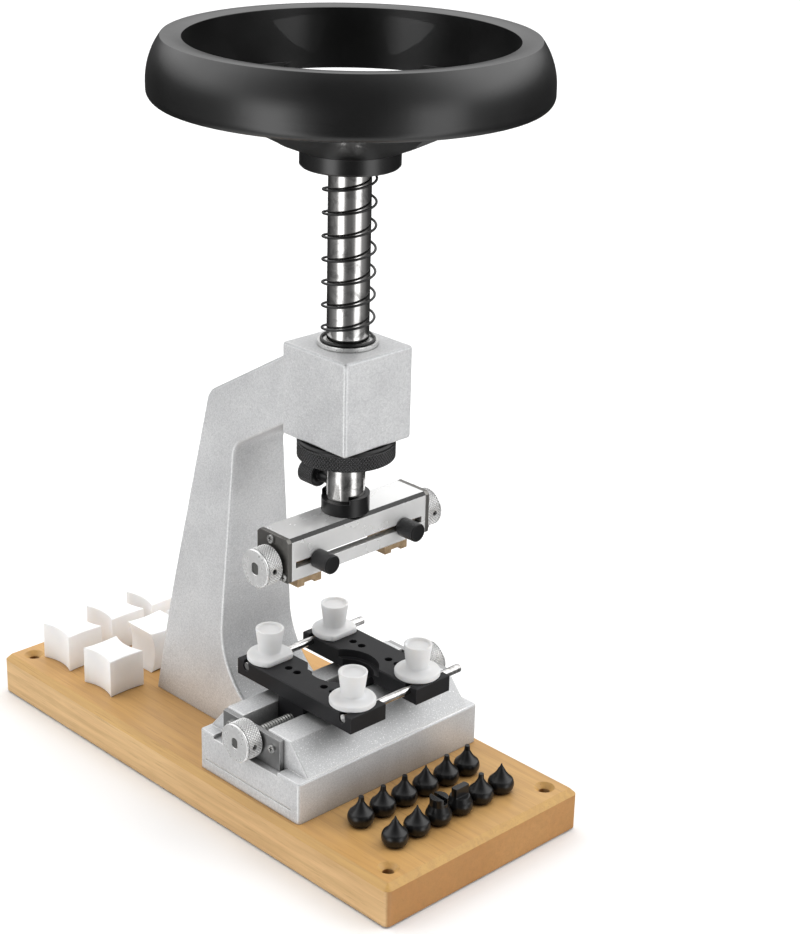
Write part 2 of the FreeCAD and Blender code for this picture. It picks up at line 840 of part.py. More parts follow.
def make_spindle():
    """Polished spindle with a socket for the die holder and a threaded stud for the wheel."""
    body = new_body("spindle_blank", "spindle_y")
    turned(
        body,
        "spindle_turning",
        [
            ("socket_r", "spindle_low_z"),
            ("spindle_tail_r - spindle_bevel", "spindle_low_z"),
            ("spindle_tail_r", "spindle_low_z + spindle_bevel"),
            ("spindle_tail_r", "head_low_z"),
            ("spindle_r", "head_low_z"),
            ("spindle_r", "hub_low_z"),
            ("spindle_stud_r", "hub_low_z"),
            ("spindle_stud_r", "spindle_stud_top_z - spindle_bevel"),
            ("spindle_stud_r - spindle_bevel", "spindle_stud_top_z"),
            ("0", "spindle_stud_top_z"),
            ("0", "socket_top_z"),
            ("socket_r", "socket_top_z"),
        ],
    )
    hole_end = "spindle_y + spindle_r + cut_past"
    hole = rod("lock_hole", "lock_neck_r + run_gap", "spindle_y", hole_end, "y", z="lock_z")
    subpart(cut("spindle", body, [hole]), "spindle")


def window_corners():
    """Outline of a window about its own middle line: a round apex, two straight sides and the rim's wall."""
    side = "window_side_angle"
    offset = f"(window_apex_r * sin({side}) + window_corner_r)"
    along = f"sqrt((rim_inner_r - window_corner_r)^2 - {offset}^2)"
    corner_x = f"({offset} * sin({side}) + {along} * cos({side}))"
    corner_y = f"({along} * sin({side}) - {offset} * cos({side}))"
    apex_x = f"window_apex_r + window_apex_round_r * cos({side})^2 / sin({side})"
    apex_y = f"window_apex_round_r * cos({side})"
    side_x = f"{corner_x} - window_corner_r * sin({side})"
    side_y = f"({corner_y} + window_corner_r * cos({side}))"
    wall = "rim_inner_r / (rim_inner_r - window_corner_r)"
    wall_x, wall_y = f"{corner_x} * {wall}", f"{corner_y} * {wall}"
    return [
        (apex_x, f"-{apex_y}"),
        (side_x, f"-{side_y}", "window_corner_r"),
        (wall_x, f"-{wall_y}", "rim_inner_r"),
        (wall_x, wall_y, "window_corner_r"),
        (side_x, side_y),
        (apex_x, apex_y, "window_apex_round_r"),
    ]


def make_handwheel():
    """Deep-rimmed handwheel; three wide spokes are left between the windows of its dished web."""
    body = new_body("wheel_blank", "spindle_y")
    turned(
        body,
        "wheel_turning",
        [
            ("spindle_stud_r + run_gap", "hub_low_z"),
            ("hub_r - hub_bevel", "hub_low_z"),
            ("hub_r", "hub_low_z + hub_bevel"),
            ("hub_r", "web_low_z"),
            ("rim_low_r", "rim_low_z"),
            ("rim_foot_r", "rim_foot_z", "rim_turn_r"),
            ("rim_outer_r", "rim_belly_z"),
            ("rim_outer_r", "rim_outer_z", "rim_bulge_r"),
            ("rim_shoulder_r", "rim_shoulder_z", "rim_crown_r"),
            ("rim_inner_r", "rim_top_z"),
            ("rim_inner_r", "rim_well_z"),
            ("hub_face_r", "hub_top_z"),
            ("spindle_stud_r + run_gap", "hub_top_z"),
        ],
    )
    middle = number(f"spoke_azimuth + 180 / {SPOKES}")
    window = new_sketch(body, "XY_Plane", "window_sketch", "hub_low_z", turn=middle)
    add_outline(window, window_corners())
    doc.recompute()
    first = pocket(body, window, "window", "rim_top_z - hub_low_z", upward=True)
    windows = body.newObject("PartDesign::PolarPattern", "windows")
    windows.Originals = [first]
    windows.Axis = (window, ["N_Axis"])
    windows.Angle = 360.0
    windows.Occurrences = SPOKES
    body.Tip = windows
    subpart(body, "handwheel")


def make_wheel_nut():
    """Flanged nut that holds the wheel on its stud."""
    flange_top = "hub_top_z + nut_flange_high"
    prism = doc.addObject("Part::Prism", "nut_prism")
    prism.Polygon = 6
    bind(prism, Circumradius="nut_flats / 2 / cos(30)", Height="nut_high")
    place(prism, "0", "spindle_y", flange_top)
    flange = rod("nut_flange", "nut_flange_r", "hub_top_z", flange_top, y="spindle_y")
    past = ("hub_top_z - cut_past", "spindle_stud_top_z + cut_past")
    hole = rod("nut_hole", "spindle_stud_r + run_gap", *past, y="spindle_y")
    subpart(cut("wheel_nut", fuse("nut_blank", [flange, prism]), [hole]), "wheel_nut")


def make_stop_ring():
    """Knurled ring on the spindle that meets the head and stops the spring's return."""
    body = new_body("stop_ring", "spindle_y")
    low = "head_low_z - ring_high"
    turned(
        body,
        "ring_turning",
        [
            ("spindle_tail_r + run_gap", low),
            ("ring_r - ring_foot_bevel", low),
            ("ring_r", f"{low} + ring_foot_bevel"),
            ("ring_r", "head_low_z - ring_bevel"),
            ("ring_r - ring_bevel", "head_low_z"),
            ("spindle_tail_r + run_gap", "head_low_z"),
        ],
    )
    subpart(body, "stop_ring")


def make_lock_screw():
    """Thumb screw that clamps the die holder's shank in the spindle."""
    start = "spindle_y + lock_knob_start"
    neck = rod("lock_neck", "lock_neck_r", "spindle_y + socket_r", start, "y", z="lock_z")
    knob = rod("lock_knob", "lock_knob_r", start, f"{start} + lock_knob_long", "y", z="lock_z")
    subpart(fuse("lock_screw", [neck, knob]), "lock_screw")


# ---- die holder --------------------------------------------------------------------------------------


def bevel_long_edges(body, blank):
    """Bevel the edges along X: wide at the top of the holder, narrow at its foot."""
    top = both_at("z", "holder_top_z")
    foot = both_at("z", "holder_low_z")

    def is_top(start, end):
        return is_across(start, end) and top(start, end)

    def is_foot(start, end):
        return is_across(start, end) and foot(start, end)

    label = blank.Label
    upper = dress(body, "Chamfer", label + "_top_edges", edges_of(blank, is_top), "holder_bevel")
    dress(body, "Chamfer", label + "_foot_edges", edges_of(upper, is_foot), "holder_foot_bevel")


def make_holder_body():
    """Bright steel bar, hollow below for the jaws, with a slot along its front for the clamp screws."""
    body = new_body("holder_blank", "spindle_y")
    half_x = "holder_half_x - holder_plate_thick"
    side = new_sketch(body, "XY_Plane", "holder_plan", "holder_low_z")
    add_outline(side, rectangle(f"-({half_x})", half_x, "-holder_half_y", "holder_half_y"))
    blank = pad(body, side, "holder_pad", "holder_top_z - holder_low_z")
    bevel_long_edges(body, blank)
    cavity = new_sketch(body, "XY_Plane", "holder_cavity_plan", "holder_low_z")
    cavity_x = "holder_cavity_half_x"
    cavity_y = "holder_cavity_half_y"
    add_outline(cavity, rectangle("-" + cavity_x, cavity_x, "-" + cavity_y, cavity_y))
    pocket(body, cavity, "holder_cavity", "holder_cavity_top_z - holder_low_z", upward=True)
    slot_low = "holder_slot_z - holder_slot_high / 2"
    slot_top = "holder_slot_z + holder_slot_high / 2"
    slot_front = "spindle_y - holder_half_y - cut_past"
    slot_x = "holder_slot_half_x"
    slot = block("holder_slot", "-" + slot_x, slot_x, slot_front, "spindle_y", slot_low, slot_top)
    end = f"{half_x} + cut_past"
    radius = "upper_screw_r + run_gap"
    journal = rod("holder_journal", radius, f"-({end})", end, "x", y="spindle_y", z="upper_screw_z")
    tools = [slot, journal]
    for index, (side, y, z) in enumerate(holder_screw_positions()):
        low, high = span(side, "holder_half_x - holder_screw_long - run_gap", "holder_half_x")
        tools.append(rod(f"holder_tapped_{index}", "small_screw_r + run_gap", low, high, "x", y=y, z=z))
    subpart(cut("holder_body", body, tools), "holder_body")


def span(side, inner, outer):
    """Low and high X of a stretch between two distances from the middle, on the left (-) or the right."""
    return (f"-({outer})", f"-({inner})") if side else (inner, outer)


def holder_screw_positions():
    """Side, Y and Z of the screws in the holder's end plates."""
    places = []
    for side in ("-", ""):
        places.append((side, "spindle_y + holder_screw_rear_y", "holder_top_z - holder_screw_top_in"))
        places.append((side, "spindle_y - holder_screw_front_y", "holder_low_z + holder_screw_low_in"))
    return places


def make_holder_end_plates():
    """Thin plates that close the holder's ends and carry the lead screw."""
    for name, side in SIDES:
        low, high = span(side, "holder_half_x - holder_plate_thick", "holder_half_x")
        far_low, far_high = low + " - cut_past", high + " + cut_past"
        label = f"holder_plate_{name}"
        plate = new_body(label + "_blank", "spindle_y")
        plan = new_sketch(plate, "XY_Plane", label + "_plan", "holder_low_z")
        add_outline(plan, rectangle(low, high, "-holder_half_y", "holder_half_y"))
        bevel_long_edges(plate, pad(plate, plan, label + "_pad", "holder_top_z - holder_low_z"))
        radius = "upper_journal_r + run_gap"
        tools = [rod(label + "_bore", radius, far_low, far_high, "x", y="spindle_y", z="upper_screw_z")]
        for index, (screw_side, y, z) in enumerate(holder_screw_positions()):
            if screw_side == side:
                hole = f"{label}_hole_{index}"
                tools.append(rod(hole, "small_screw_r + run_gap", far_low, far_high, "x", y=y, z=z))
        subpart(cut(label, plate, tools), label)


def cross_head_screw(name, side, face, length, y, z):
    """Pan-head screw along X with a cross recess; face is how far out the plate it sits on reaches."""
    top = f"{face} + small_head_high"
    head = rod(name + "_head", "small_head_r", *span(side, face, top), "x", y=y, z=z)
    shank = rod(name + "_shank", "small_screw_r", *span(side, f"{face} - {length}", face), "x", y=y, z=z)
    depths = span(side, f"{top} - recess_deep", f"{top} + cut_past")
    recess = []
    for arm, reach_y, reach_z in (
        ("level", "recess_half_long", "recess_half_wide"),
        ("upright", "recess_half_wide", "recess_half_long"),
    ):
        across = (f"{y} - {reach_y}", f"{y} + {reach_y}")
        upward = (f"{z} - {reach_z}", f"{z} + {reach_z}")
        recess.append(block(f"{name}_{arm}", *depths, *across, *upward))
    return cut(name, fuse(name + "_blank", [head, shank]), recess)


def make_holder_screws():
    """Four cross-head screws in the holder's end plates."""
    screws = []
    for index, (side, y, z) in enumerate(holder_screw_positions()):
        name = f"holder_screw_{index}"
        screws.append(cross_head_screw(name, side, "holder_half_x", "holder_screw_long", y, z))
    subpart(group("holder_screws", screws), "holder_screws")


def make_holder_shank():
    """Black collar and shank that plug the holder into the spindle; the collar has a drive slot."""
    collar = rod("collar", "collar_r", "holder_top_z", "collar_top_z", y="spindle_y")
    above = "collar_top_z + cut_past"
    cup = rod("collar_cup", "spindle_tail_r + run_gap", "collar_floor_z", above, y="spindle_y")
    slot = doc.addObject("Part::Box", "collar_slot")
    bind(slot, Length="4 * collar_r", Width="collar_slot_wide", Height=f"{above} - collar_slot_z")
    azimuth = number("collar_slot_azimuth")
    wide = number("collar_slot_wide") / 2
    offset = FreeCAD.Rotation(FreeCAD.Vector(0, 0, 1), azimuth).multVec(FreeCAD.Vector(0, -wide, 0))
    place(slot, f"{offset.x}", f"spindle_y + ({offset.y})", "collar_slot_z", azimuth)
    shank = rod("shank", "shank_r", "holder_top_z", "shank_top_z", y="spindle_y")
    hollowed = cut("hollow_collar", collar, [cup, slot])
    subpart(fuse("holder_shank", [hollowed, shank]), "holder_shank")


def make_lead_screw(name, y, z, radius, journal, inner, outer):
    """Lead screw along X: a threaded core, two plain journals and double-flat ends for the knobs."""
    core = rod(name + "_core", radius, f"-({inner})", inner, "x", y=y, z=z)
    shaft = rod(name + "_shaft", journal, f"-({outer})", outer, "x", y=y, z=z)
    flat = f"{journal} * flat_part"
    upward = (f"{z} - {journal}", f"{z} + {journal}")
    keep = block(name + "_flats", f"-({outer})", outer, f"{y} - {flat}", f"{y} + {flat}", *upward)
    flatted = overlap(name + "_ends", shaft, keep)
    subpart(fuse(name, [core, flatted]), name)


def make_knob(name, side, y, z, radius, length, start, journal):
    """Knurled knob along X with a double-flat bore and a grub-screw hole facing front."""
    low, high = span(side, start, f"{start} + {length}")
    body = new_body(name + "_blank")
    profile = new_sketch(body, "YZ_Plane", name + "_profile", low)
    add_circle(profile, y, z, radius)
    blank = pad(body, profile, name + "_pad", length)
    rims = [f"Edge{index}" for index, edge in enumerate(blank.Shape.Edges, start=1) if edge.Closed]
    dress(body, "Chamfer", name + "_bevel", rims, "knob_bevel")
    past = (low + " - cut_past", high + " + cut_past")
    upward = (f"{z} - {journal} - cut_past", f"{z} + {journal} + cut_past")
    flat = f"({journal} * flat_part + knob_key_gap)"
    shaft = rod(name + "_bore", f"{journal} + knob_key_gap", *past, "x", y=y, z=z)
    keep = block(name + "_bore_flats", *past, f"{y} - {flat}", f"{y} + {flat}", *upward)
    middle = f"({low} + {high}) / 2"
    grub = rod(name + "_grub_hole", "grub_r", f"{y} - {radius} - cut_past", y, "y", x=middle, z=z)
    subpart(cut(name, body, [overlap(name + "_key", shaft, keep), grub]), name)


def grub_screw(name, side, y, z, radius, length, start, journal):
    """Headless screw in a knob, from just under the knurl to the shaft."""
    middle = f"{side}({start} + {length} / 2)"
    outer = f"{y} - {radius} + grub_recess"
    inner = f"{y} - {journal} * flat_part - run_gap"
    return rod(name, "grub_r - run_gap", outer, inner, "y", x=middle, z=z)


def make_screw_set(prefix, y, z, plate_face, inner):
    """Lead screw, two knobs and their grub screws for one pair of jaws."""
    radius, journal, knob_radius, knob_long, knob_gap = [
        f"{prefix}_{size}" for size in ("screw_r", "journal_r", "knob_r", "knob_long", "knob_gap")
    ]
    start = f"{plate_face} + {knob_gap}"
    outer = f"{start} + {knob_long} - knob_end_in"
    make_lead_screw(prefix + "_lead_screw", y, z, radius, journal, f"{inner} - run_gap", outer)
    grubs = []
    for name, side in SIDES:
        make_knob(f"{prefix}_knob_{name}", side, y, z, knob_radius, knob_long, start, journal)
        label = f"{prefix}_grub_{name}"
        grubs.append(grub_screw(label, side, y, z, knob_radius, knob_long, start, journal))
    subpart(group(prefix + "_grub_screws", grubs), prefix + "_grub_screws")


def make_brass_jaws():
    """Two brass jaws that slide in the holder; each foot has a shallow notch between two prongs."""
    front = "spindle_y - holder_cavity_half_y + brass_side_gap"
    rear = "spindle_y + holder_cavity_half_y - brass_side_gap"
    past_front, past_rear = front + " - cut_past", rear + " + cut_past"
    for name, side in SIDES:
        low, high = span(side, "brass_inner_x", "brass_outer_x")
        label = f"brass_jaw_{name}"
        blank = block(label + "_blank", low, high, front, rear, "brass_low_z", "brass_top_z")
        middle = f"({low} + {high}) / 2"
        across = (f"{middle} - brass_notch_long / 2", f"{middle} + brass_notch_long / 2")
        notch_low, notch_top = "brass_low_z - cut_past", "brass_low_z + brass_notch_deep"
        notch = block(label + "_notch", *across, past_front, past_rear, notch_low, notch_top)
        past = (low + " - cut_past", high + " + cut_past")
        thread_r = "upper_screw_r + run_gap"
        thread = rod(label + "_thread", thread_r, *past, "x", y="spindle_y", z="upper_screw_z")
        depths = (past_front, front + " + clamp_hole_deep")
        hole_x = f"{side}clamp_x"
        tapped = rod(label + "_tapped", "clamp_shank_r + run_gap", *depths, "y", x=hole_x, z="holder_slot_z")
        subpart(cut(label, blank, [notch, thread, tapped]), label)


def make_clamp_screws():
    """Black thumb screws that lock the brass jaws through the holder's slot."""
    face = "spindle_y - holder_half_y"
    head_start = f"{face} - clamp_head_long"
    shank_end = "spindle_y - holder_cavity_half_y + brass_side_gap + clamp_shank_reach"
    for name, side in SIDES:
        x = f"{side}clamp_x"
        head = rod(f"clamp_{name}_head", "clamp_head_r", head_start, face, "y", x=x, z="holder_slot_z")
        shank = rod(f"clamp_{name}_shank", "clamp_shank_r", face, shank_end, "y", x=x, z="holder_slot_z")
        subpart(fuse(f"clamp_screw_{name}", [head, shank]), f"clamp_screw_{name}")


# ---- vise --------------------------------------------------------------------------------------------


def make_end_plates():
    """Plates on the bed's ends that carry the vise's lead screw."""
    front = "vise_y - end_plate_half_y"
    rear = "vise_y + end_plate_half_y"
    foot = "plinth_top_z - seat_deep"
    for name, side in SIDES:
        low, high = span(side, "bed_half_x", "bed_half_x + end_plate_thick")
        past = (low + " - cut_past", high + " + cut_past")
        label = f"end_plate_{name}"
        plate = block(label + "_blank", low, high, front, rear, foot, "end_plate_top_z")
        tools = [rod(label + "_bore", "vise_journal_r + run_gap", *past, "x", y="vise_y", z="vise_z")]
        for index, y in enumerate(end_screw_ys()):
            hole = f"{label}_hole_{index}"
            tools.append(rod(hole, "small_screw_r + run_gap", *past, "x", y=y, z="vise_z"))
        subpart(cut(label, plate, tools), label)


def make_end_plate_screws():
    """Four cross-head screws that hold the end plates."""
    screws = []
    for side_name, side in SIDES:
        for index, y in enumerate(end_screw_ys()):
            name = f"end_screw_{side_name}_{index}"
            face = "bed_half_x + end_plate_thick"
            screws.append(cross_head_screw(name, side, face, "end_screw_long", y, "vise_z"))
    subpart(group("end_plate_screws", screws), "end_plate_screws")


def jaw_screw_places(side):
    """Size expressions for the places of the two screws between a slide and its jaw plate."""
    x = f"{side}(slide_inner_x + slide_outer_x) / 2"
    return [(x, "vise_y - jaw_screw_offset"), (x, "vise_y + jaw_screw_offset")]


def guide_ys():
    """Size expressions for the Y of the two guide pins."""
    return ("spindle_y - guide_offset_y", "spindle_y + guide_offset_y")


def make_jaw_plates():
    """Black jaw plates with a stepped half-round notch, peg holes and grooves over the guide pins."""
    under = "jaw_low_z - cut_past"
    above = "jaw_top_z + cut_past"
    for name, side in SIDES:
        low, high = span(side, "jaw_inner_x", "jaw_outer_x")
        past = (low + " - cut_past", high + " + cut_past")
        label = f"jaw_plate_{name}"
        body = new_body(label + "_blank", "spindle_y")
        plan = new_sketch(body, "XY_Plane", label + "_plan", "jaw_low_z")
        add_outline(plan, rectangle(low, high, "-jaw_half_y", "jaw_half_y"))
        blank = pad(body, plan, label + "_pad", "jaw_top_z - jaw_low_z")
        dress(body, "Chamfer", label + "_edges", edges_of(blank, both_at("z", "jaw_top_z")), "jaw_bevel")
        holes = new_sketch(body, "XY_Plane", label + "_holes_plan", "jaw_top_z")
        for offset in ("peg_hole_near", "peg_hole_far", "peg_offset_y"):
            for sign in ("", "-"):
                add_circle(holes, f"{side}peg_x", sign + offset, "peg_hole_r")
        pocket(body, holes, label + "_holes", "jaw_top_z - jaw_low_z")
        tools = [
            rod(label + "_notch", "jaw_notch_r", "jaw_step_z", above, y="spindle_y"),
            rod(label + "_step", "jaw_step_r", under, "jaw_top_z", y="spindle_y"),
        ]
        pin_gap = "guide_grip_gap" if side else "run_gap"
        for index, y in enumerate(guide_ys()):
            tools.append(rod(f"{label}_bore_{index}", f"guide_r + {pin_gap}", *past, "x", y=y, z="guide_z"))
            across = (f"{y} - guide_slot_wide / 2", f"{y} + guide_slot_wide / 2")
            tools.append(block(f"{label}_groove_{index}", *past, *across, "guide_z", above))
        hole_top = "jaw_low_z + jaw_screw_hole"
        for index, (x, y) in enumerate(jaw_screw_places(side)):
            tools.append(rod(f"{label}_tapped_{index}", "small_screw_r + run_gap", under, hole_top, x=x, y=y))
        subpart(cut(label, body, tools), label)


def make_jaw_slides():
    """Slides that run in the bed's channel on the lead screw and carry the jaw plates."""
    front = "vise_y - channel_wide / 2 + slide_side_gap"
    rear = "vise_y + channel_wide / 2 - slide_side_gap"
    under = "slide_low_z - cut_past"
    for name, side in SIDES:
        low, high = span(side, "slide_inner_x", "slide_outer_x")
        past = (low + " - cut_past", high + " + cut_past")
        label = f"jaw_slide_{name}"
        blank = block(label + "_blank", low, high, front, rear, "slide_low_z", "jaw_low_z")
        tools = [rod(label + "_thread", "vise_screw_r + run_gap", *past, "x", y="vise_y", z="vise_z")]
        for index, (x, y) in enumerate(jaw_screw_places(side)):
            hole, sink = f"{label}_hole_{index}", f"{label}_sink_{index}"
            sink_r, sink_top = "small_head_r + jaw_sink_gap", "slide_low_z + jaw_sink_deep"
            tools.append(rod(hole, "small_screw_r + run_gap", under, "jaw_low_z + cut_past", x=x, y=y))
            tools.append(rod(sink, sink_r, under, sink_top, x=x, y=y))
        subpart(cut(label, blank, tools), label)


def make_jaw_screws():
    """Screws that come up through each slide into its jaw plate."""
    head_low = "slide_low_z + jaw_head_in"
    head_top = "slide_low_z + jaw_sink_deep"
    shank_top = "jaw_low_z + jaw_screw_reach"
    for name, side in SIDES:
        screws = []
        for index, (x, y) in enumerate(jaw_screw_places(side)):
            label = f"jaw_screw_{name}_{index}"
            head = rod(label + "_head", "small_head_r", head_low, head_top, x=x, y=y)
            shank = rod(label + "_shank", "small_screw_r", head_top, shank_top, x=x, y=y)
            screws.append(fuse(label, [head, shank]))
        subpart(group(f"jaw_screws_{name}", screws), f"jaw_screws_{name}")


def make_guide_pins():
    """Two steel pins fixed in the left jaw; the right jaw slides along them."""
    start = "-jaw_outer_x + guide_root_in"
    pins = []
    for index, y in enumerate(guide_ys()):
        pins.append(rod(f"guide_pin_{index}", "guide_r", start, "guide_end_x", "x", y=y, z="guide_z"))
    subpart(group("guide_pins", pins), "guide_pins")


def make_peg(label, x, y, flatted):
    """A nylon peg: a flange, a flared post with a cupped top, and a shank in the jaw plate."""
    flange_top = "jaw_top_z + peg_flange_high"
    top = f"{flange_top} + peg_post_high"
    flange = rod(label + "_flange", "peg_flange_r", "jaw_top_z", flange_top, x=x, y=y)
    if flatted:
        wide = (f"{x} - 2 * peg_flange_r", f"{x} + 2 * peg_flange_r")
        deep = (f"{y} - 2 * peg_flange_r", f"{y} - peg_flat")
        tall = ("jaw_top_z - cut_past", flange_top + " + cut_past")
        flange = cut(label + "_flatted", flange, [block(label + "_flat", *wide, *deep, *tall)])
    post = cone(label + "_post", "peg_post_low_r", "peg_post_top_r", "jaw_top_z", top, x=x, y=y)
    shank = rod(label + "_shank", "peg_shank_r", "jaw_top_z - peg_shank_long", "jaw_top_z", x=x, y=y)
    cup = cone(label + "_cup", "peg_cup_floor_r", "peg_cup_r", f"{top} - peg_cup_deep", top, x=x, y=y)
    subpart(cut(label, fuse(label + "_blank", [flange, post, shank]), [cup]), label)


def make_pegs():
    """Four pegs; the rear pair has a flat towards the middle of the vise."""
    for end, sign in (("front", "-"), ("rear", "+")):
        for name, side in SIDES:
            place_y = f"spindle_y {sign} peg_offset_y"
            make_peg(f"peg_{end}_{name}", f"{side}peg_x", place_y, end == "rear")


# ---- loose tips and blocks -----------------------------------------------------------------------------


def tip_profile(kind):
    """Turned outline of a tip, as (radius, height); the kinds differ above the shoulder."""
    top = "board_thick + tip_high"
    shoulder = "board_thick + tip_shoulder_z"
    neck = "board_thick + tip_neck_z"
    foot = [
        ("0", "board_thick - tip_shank_long"),
        ("tip_shank_r", "board_thick - tip_shank_long"),
        ("tip_shank_r", "board_thick"),
        ("tip_foot_r", "board_thick", "tip_belly_arc"),
    ]
    if kind == "point":
        flank = [("tip_shoulder_r", shoulder, "-tip_flank_arc"), ("tip_neck_r", neck, "-tip_point_arc")]
        return foot + flank + [("tip_point_r", top), ("0", top)]
    if kind == "pin":
        flank = [("tip_shoulder_r", shoulder, "-tip_flank_arc"), ("tip_neck_r", neck)]
        return foot + flank + [("tip_pin_r", top), ("0", top)]
    crown_low, crown_top = "board_thick + crown_low_z", "board_thick + crown_top_z"
    crown = [("tip_shoulder_r", shoulder), ("crown_r", crown_low), ("crown_r", crown_top)]
    return foot + crown + [("0", crown_top)]


# Kinds of the tips, back row first and each row from left to right
TIP_KINDS = ["pin", "pin", "pin", "point", "pin", "pin", "point", "point", "slot", "chisel", "pin", "point"]


def make_tips():
    """Twelve driver tips in two rows, each with a shank in its own socket."""
    far = "2 * crown_r"
    above = "board_thick + tip_high"
    for index, ((x, y), kind) in enumerate(zip(tip_positions(), TIP_KINDS), start=1):
        name = f"tip_{index:02d}"
        body = doc.addObject("PartDesign::Body", name + "_blank")
        place(body, x, y, "0")
        turned(body, name + "_turning", tip_profile(kind))
        if kind == "slot":
            wide = (f"{x} - crown_slot_half", f"{x} + crown_slot_half")
            deep = (f"{y} - {far}", f"{y} + {far}")
            slot = block(name + "_slot", *wide, *deep, "board_thick + crown_top_z - crown_slot_deep", above)
            body = cut(name, body, [slot])
        if kind == "chisel":
            flats = []
            wide = (f"{x} - {far}", f"{x} + {far}")
            for end, low, high in (("front", far, "chisel_half"), ("rear", "-chisel_half", f"-({far})")):
                deep = (f"{y} - ({low})", f"{y} - ({high})")
                floor = "board_thick + crown_top_z - chisel_deep"
                flats.append(block(f"{name}_{end}_flat", *wide, *deep, floor, above))
            body = cut(name, body, flats)
        subpart(body, name)


# X, Y and whether the block lies on its side
BLOCK_PLACES = [
    ("-37.3", "78.4", False),
    ("-36.6", "113.5", False),
    ("-8.6", "115.5", False),
    ("16.6", "115.5", False),
    ("-6.8", "84.5", True),
    ("18.5", "84.5", False),
]


def make_rest_blocks():
    """Six nylon blocks with scooped sides, for resting cases of different curves."""
    left, right = "-block_wide / 2", "block_wide / 2"
    front, rear = "-block_long / 2", "block_long / 2"
    for index, (x, y, on_side) in enumerate(BLOCK_PLACES, start=1):
        name = f"rest_block_{index}"
        body = doc.addObject("PartDesign::Body", name)
        plan = new_sketch(body, "XY_Plane", name + "_plan")
        add_outline(
            plan,
            [
                (left, front, "-block_dish_r"),
                (right, front, "-block_scoop_r"),
                (right, rear, "-block_dish_r"),
                (left, rear, "-block_scoop_r"),
            ],
        )
        pad(body, plan, name + "_pad", "block_high")
        if on_side:
            place(body, x, f"{y} + block_high / 2", "board_thick + block_long / 2", 90, (1, 0, 0))
        else:
            place(body, x, y, "board_thick")
        subpart(body, name)


def make_everything():
    """Every sub-part, from the board up."""
    make_base_board()
    make_frame_casting()
    make_frame_bolts()
    make_washers()
    make_spring()
    make_spindle()
    make_handwheel()
    make_wheel_nut()
    make_stop_ring()
    make_lock_screw()
    make_holder_body()
    make_holder_end_plates()
    make_holder_screws()
    make_holder_shank()
    holder_end = "holder_half_x - holder_plate_thick"
    make_screw_set("upper", "spindle_y", "upper_screw_z", "holder_half_x", holder_end)
    make_brass_jaws()
    make_clamp_screws()
    make_end_plates()
    make_end_plate_screws()
    make_screw_set("vise", "vise_y", "vise_z", "bed_half_x + end_plate_thick", "bed_half_x")
    make_jaw_plates()
    make_jaw_slides()
    make_jaw_screws()
    make_guide_pins()
    make_pegs()
    make_tips()
    make_rest_blocks()


def check_document():
    """Stop if any feature failed or any sub-part has no valid shape."""
    doc.recompute()
    for item in doc.Objects:
        if "Invalid" in item.State or "Error" in item.State:
            raise RuntimeError(f"{item.Label} failed: {item.State}")
    for item in SUBPARTS:
        if item.Shape.isNull() or not item.Shape.isValid() or not item.Shape.Solids:
            raise RuntimeError(item.Label + " has no valid shape")


def write_parts():
    """Write each sub-part to its own STEP file."""
    os.makedirs("parts", exist_ok=True)
    for item in SUBPARTS:
        item.Shape.exportStep(f"parts/{item.Label}.step")
        print(f"{item.Label:22s} solids {len(item.Shape.Solids)}  volume {item.Shape.Volume:10.1f}")


make_everything()
check_document()
write_parts()
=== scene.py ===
import json
import math

import bpy
from mathutils import Matrix, Vector


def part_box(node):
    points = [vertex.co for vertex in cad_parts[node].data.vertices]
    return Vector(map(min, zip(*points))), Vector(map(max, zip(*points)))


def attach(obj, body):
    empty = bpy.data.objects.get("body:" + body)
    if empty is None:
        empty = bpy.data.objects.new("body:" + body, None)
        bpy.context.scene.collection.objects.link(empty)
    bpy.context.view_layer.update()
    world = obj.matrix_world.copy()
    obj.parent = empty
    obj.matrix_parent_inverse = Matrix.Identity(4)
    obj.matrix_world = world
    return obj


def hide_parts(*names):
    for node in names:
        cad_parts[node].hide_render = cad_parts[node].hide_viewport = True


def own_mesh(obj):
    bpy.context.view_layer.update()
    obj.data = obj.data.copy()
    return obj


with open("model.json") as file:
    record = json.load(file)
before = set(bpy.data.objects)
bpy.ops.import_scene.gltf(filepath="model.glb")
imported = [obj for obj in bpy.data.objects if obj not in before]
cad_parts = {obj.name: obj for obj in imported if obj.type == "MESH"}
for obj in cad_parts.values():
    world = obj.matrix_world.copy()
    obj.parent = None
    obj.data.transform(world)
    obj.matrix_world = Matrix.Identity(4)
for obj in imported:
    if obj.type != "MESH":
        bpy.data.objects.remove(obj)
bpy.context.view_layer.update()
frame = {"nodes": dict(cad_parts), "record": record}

# Looks of the bench opener for screw-back watch cases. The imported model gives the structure. This script
# gives every node its finish, and replaces the knurled, threaded, wound and moulded pieces by finely shaped
# ones. Lengths are in metres, and the object's front looks towards -Y.

MM = 0.001

# Radius of the journals of each lead screw, and the half width over their double flats as a part of it
JOURNALS = {"upper": 2.8 * MM, "vise": 2.5 * MM}
FLAT_PART = 0.75


# ---- finishes ------------------------------------------------------------------------------------------


